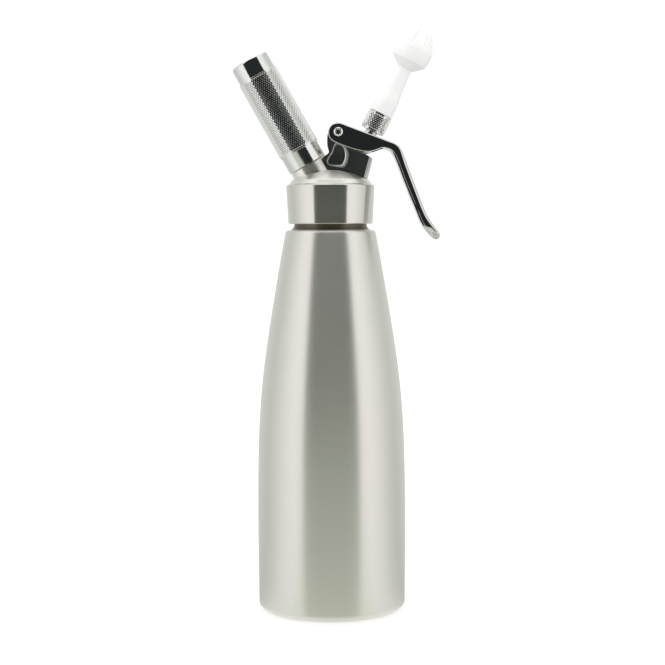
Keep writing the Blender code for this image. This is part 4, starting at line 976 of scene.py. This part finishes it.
def addKnurl(piece, material, size, radius, foot, top):
    starts, length, depth = take(size, "knurlStarts knurlLength knurlDepth")
    rows = int((top - foot - length) / (length / 2)) + 1
    spare = (top - foot - length - (rows - 1) * length / 2) / 2
    values = {
        "Radius": radius, "Foot": foot + spare + length / 2, "Rows": rows, "Starts": starts,
        "Row height": length / 2, "Depth": depth, "Stud width": tau * (radius - depth) / starts,
        "Stud length": length, "Top share": size["knurlTop"],
    }
    carrier = makePiece("knurl", bmesh.new())
    change = carrier.modifiers.new("Knurl", "NODES")
    change.node_group, names = knurlTree(material, values)
    for name, value in values.items():
        change[names[name]] = value
    settle(carrier)
    shape = bmesh.new()
    shape.from_mesh(carrier.data)
    print("knurl of", len(shape.faces), "faces")
    bpy.data.objects.remove(carrier, do_unlink=True)
    return addShape(piece, shape)


def makeHolder(size, chargerTop):
    ceiling = chargerTop + fit
    top = ceiling + size["crown"]
    seat, upper, grip, turn = take(size, "seat upperRadius gripRadius topRound")
    gripFoot, gripTop = seat + size["lowerBand"], top - size["upperBand"]
    core, chamfer = grip - size["knurlDepth"], 0.0001
    lower = [(upper, gripTop), (core - chamfer, gripTop), (core, gripTop - chamfer)]
    lower += [(core, gripFoot + chamfer), (core - chamfer, gripFoot)]
    lower += stepLine(gripFoot, (size["lowerRadius"], seat), (size["bore"], ceiling))[1:]
    profile = [(0, top)] + arcPoints((upper - turn, top - turn), turn, 90, 0, 8)
    profile += softCorners(lower, 0.0003, 2)
    piece = makePiece("charger_holder_turned", lathe(profile, 128))
    addKnurl(piece, holderSteel, size, grip, gripFoot, gripTop)
    piece.data.transform(holderPlace)
    dress(piece, holderSteel, "holder", "charger_holder", sharp=28)


coupling = {
    "foot": 0.05775, "length": 0.0124, "radius": 0.00805, "bore": 0.0043, "sealRadius": 0.0046,
    "sealHeight": 0.001, "nozzle": 0.003, "nipple": 0.0053, "nippleHeight": 0.0063, "crest": 0.0056,
    "pitch": 0.0012, "turns": 4, "threadFoot": 0.0007, "threadHalf": 0.0004,
    "knurlStarts": 32, "knurlDepth": 0.00035, "knurlLength": 0.0024, "knurlTop": 0.5,
}
tip = {
    "length": 0.0604, "base": 0.0077, "neck": 0.0048, "neckShare": 0.545, "crown": 0.0123, "wall": 0.0015,
    "taper": ((0.005, 1), (0.075, 0.99), (0.18, 0.95), (0.26, 0.83), (0.385, 0.74), (0.485, 0.655)),
    "crownLine": (
        (0.64, 0.925), (0.7, 0.985), (0.782, 1), (0.833, 0.93), (0.905, 0.775), (0.965, 0.6), (1, 0.43),
    ),
    "slits": 4, "slitDepth": 0.0125, "slitHalf": 0.0012, "slitFoot": 0.0002, "segments": 128,
}


def makeCoupling(size):
    foot, top, stemTop = size["foot"], size["foot"] + size["length"], valve["stemTop"]
    nippleTop = top + size["nippleHeight"]
    core = size["radius"] - size["knurlDepth"]
    ledge = stemTop + size["sealHeight"] + 2 * fit
    nipple, nozzle, seal = take(size, "nipple nozzle sealRadius")
    parts = (nipple, top), (core, foot), (size["bore"], stemTop), (seal + fit, ledge), (nozzle, nippleTop)
    profile = softCorners(ringLine(nippleTop, *parts), 0.0003, 3, closed=True)
    piece = makePiece("tip_coupling_turned", lathe(profile, 96, closed=True))
    addThread(piece, size, nipple, top, 40)
    addKnurl(piece, valveSteel, size, size["radius"], foot + 0.0002, top - 0.0002)
    piece.data.transform(valvePlace)
    dress(piece, valveSteel, "coupling", "tip_coupling", sharp=28)
    low = stemTop + fit
    makeRing("tip_ring", nozzle, seal, low, low + size["sealHeight"], valvePlace, "tip", "tip_seal")
    return top, nippleTop


def makeTip(size, foot, nippleTop):
    length, crown, base = take(size, "length crown base")
    bulb = smoothLine([(crown * wide, foot + length * high) for high, wide in size["crownLine"]], 6)
    bulb = [(min(wide, crown), high) for wide, high in bulb]
    neck = (size["neck"], foot + size["neckShare"] * length)
    taper = [(base * wide, foot + length * high) for high, wide in size["taper"][::-1]]
    stalk = smoothLine([neck] + taper, 5)
    under = softCorners([bulb[1], bulb[0], stalk[0], stalk[1]], 0.0016, 5)[1:-1]
    start = foot + fit
    outside = bulb[:0:-1] + under + stalk[1:-1] + [(base, start)]
    floor = neck[1] + (size["crownLine"][0][0] - size["neckShare"]) * length / 2
    inside = ringLine(start, (coupling["crest"] + fit, nippleTop + fit), (coupling["nozzle"], floor))
    inside += [(radius - size["wall"], height) for radius, height in bulb[1:]]
    piece = makePiece("tulip_nozzle", lathe(outside + inside, size["segments"], closed=True))
    top = foot + length + fit
    half, narrow, low, high = size["slitHalf"], size["slitFoot"], top - size["slitDepth"], top + 0.002
    wedge = [(-narrow, low), (narrow, low), (half, top), (half, high), (-half, high), (-half, top)]
    for number in range(size["slits"]):
        turn = Matrix.Rotation(pi * (number + 0.5) / size["slits"], 4, "Z")
        combine(piece, slab("slit", wedge, -crown - past, crown + past, turn))
    piece.data.transform(valvePlace)
    dress(piece, tipPlastic, "tip", "tulip_tip", sharp=30, flat=True)


makeBlock(block)
print("valve block made")
makeLever(lever)
makePivot(pivotPin)
print("lever made")
makeValve(valve)
chargerFoot = makeInlet(inlet)
chargerTop = makeCharger(charger, chargerFoot)
makeHolder(holder, chargerTop)
print("holder made")
tipFoot, nippleTop = makeCoupling(coupling)
makeTip(tip, tipFoot, nippleTop)
print("tip made")


studio = {
    "frontHalf": 44, "frontTop": 50, "frontRadius": 1.9, "sideRadius": 2.4, "sideTop": 46,
    "frontGlow": ((0, (0.02, 0.024, 0.024)), (44, (0.02, 0.024, 0.024))),
    "apronGlow": ((0, (0.93, 1, 0.87)), (44, (0.93, 1, 0.87))),
    "apronReach": ((0.05, 0.8), (0.3, 0.74), (0.6, 0.62), (0.74, 0.45), (0.84, 0.03), (1.9, 0.02)),
    "sideGlow": (
        (44, (1, 1, 1)), (66, (1, 1, 1)), (84, (0.87, 0.88, 0.87)), (98, (0.74, 0.76, 0.74)),
        (116, (0.63, 0.66, 0.64)), (144, (0.68, 0.71, 0.69)), (180, (0.75, 0.77, 0.75)),
    ),
    "sideReach": ((0.05, 0.84), (0.4, 0.93), (1, 1)),
    "floorColour": (0.52, 0.52, 0.52), "floorRoughness": 0.6, "floorGlow": 0.54, "skyGlow": 1.12,
    "floorHalf": 30, "floorHeight": -0.0002, "apronHeight": 0.0003, "apronStart": 0.05,
    "cardMiddle": 0.25,
}


def ramp(tree, value, stops, reach):  # carries a value from 0 to reach to the stops' colours
    node = addNode(tree, "ShaderNodeValToRGB", {"Fac": mathNode(tree, "DIVIDE", value, reach)})
    points = node.color_ramp.elements
    while len(points) < len(stops):
        points.new(0.5)
    for point, (place, level) in zip(points, stops):
        point.position = place / reach
        point.color = (*level, 1) if isinstance(level, tuple) else (level, level, level, 1)
    return node.outputs["Color"]


def glowMaterial(name, turnStops, reachStops=None):  # glow by the turn from the front, and by the distance
    material = bpy.data.materials.new(name)
    material.use_nodes = True
    tree = material.node_tree
    tree.nodes.clear()
    spot = ownSpot(tree)
    parts = addNode(tree, "ShaderNodeSeparateXYZ", {"Vector": spot}).outputs
    side, front = mathNode(tree, "ABSOLUTE", parts["X"]), mathNode(tree, "MULTIPLY", parts["Y"], -1)
    stops = [(radians(turn), level) for turn, level in turnStops]
    colour = ramp(tree, mathNode(tree, "ARCTAN2", side, front), stops, pi)
    glow = addNode(tree, "ShaderNodeEmission", {"Color": colour})
    if reachStops:
        length = addNode(tree, "ShaderNodeVectorMath", {0: spot}, "LENGTH").outputs["Value"]
        feed(tree, glow, {"Strength": ramp(tree, length, reachStops, reachStops[-1][0])})
    addNode(tree, "ShaderNodeOutputMaterial", {"Surface": glow.outputs["Emission"]})
    return material


def sheet(rows):
    shape = bmesh.new()
    rows = [[shape.verts.new(point) for point in row] for row in rows]
    for low, high in zip(rows, rows[1:]):
        for first, second, third, fourth in zip(low, low[1:], high[1:], high):
            shape.faces.new((first, second, third, fourth))
    return shape


def addCard(name, material, fromTurn, toTurn, steps, rows):  # seen only in reflections
    turns = [radians(fromTurn + (toTurn - fromTurn) * step / steps) for step in range(steps + 1)]
    ways = [(sin(turn), -cos(turn)) for turn in turns]
    rows = [[(reach * x, reach * y, height) for x, y in ways] for reach, height in rows]
    card = makePiece(name, sheet(rows))
    card.data.materials.append(material)
    card.visible_camera = False
    card.visible_diffuse = False
    card.visible_shadow = False


def addCards(size, side, names, glows, fromTurn, toTurn, steps):  # a curved wall and the floor before it
    radius = size[side + "Radius"]
    rows = [(radius, 0)]
    for rise in range(9):
        angle = radians(size[side + "Top"] * rise / 8)
        rows.append((radius * cos(angle), size["cardMiddle"] + radius * sin(angle)))
    addCard(side + "_card", glowMaterial(names[0], size[side + "Glow"]), fromTurn, toTurn, steps, rows)
    rows = [(size["apronStart"], size["apronHeight"]), (radius, size["apronHeight"])]
    addCard(side + "_apron", glowMaterial(names[1], *glows), fromTurn, toTurn, steps, rows)


def makeFloor(size):
    reach, height = take(size, "floorHalf floorHeight")
    rows = [[(-reach, y, height), (reach, y, height)] for y in (-reach, reach)]
    floor = makePiece("studio_floor", sheet(rows))
    look = {"colour": size["floorColour"], "roughness": size["floorRoughness"]}
    material, tree, shader = startMaterial("pale floor", look)
    path = tree.nodes.new("ShaderNodeLightPath").outputs
    seen = path["Is Camera Ray"]
    for kind in ("Is Glossy Ray", "Is Transmission Ray"):
        seen = mathNode(tree, "MAXIMUM", seen, path[kind])
    glow = mathNode(tree, "MULTIPLY", seen, size["floorGlow"])
    feed(tree, shader, {"Emission Color": (1, 1, 1, 1), "Emission Strength": glow})
    floor.data.materials.append(material)


def makeWorld(size):
    world = bpy.data.worlds.new("white studio")
    world.use_nodes = True
    tree = world.node_tree
    feed(tree, tree.nodes["Background"], {"Color": (1, 1, 1, 1), "Strength": size["skyGlow"]})
    scene.world = world


def makeCamera():
    view = {
        "distance": 1.045, "height": 0.25, "side": 0.0013, "pitch": 2.6, "roll": 0.24, "shift": -0.05,
        "focal": 1600, "pixels": 665, "sensor": 36,
    }
    data = bpy.data.cameras.new("camera")
    data.sensor_width = view["sensor"]
    data.lens = view["focal"] / view["pixels"] * view["sensor"]
    data.shift_y = view["shift"]
    camera = bpy.data.objects.new("camera", data)
    camera.location = (view["side"], -view["distance"], view["height"])
    camera.rotation_euler = (radians(90 - view["pitch"]), radians(view["roll"]), 0)
    scene.collection.objects.link(camera)
    scene.camera = camera


half = studio["frontHalf"]
frontGlows, sideGlows = (studio["apronGlow"], studio["apronReach"]), (studio["sideGlow"], studio["sideReach"])
addCards(studio, "front", ("dark front card", "front floor glow"), frontGlows, -half, half, 36)
addCards(studio, "side", ("side card", "side floor glow"), sideGlows, half, 360 - half, 96)
makeFloor(studio)
makeWorld(studio)
makeCamera()
scene.view_settings.view_transform = "Standard"
print("studio set")
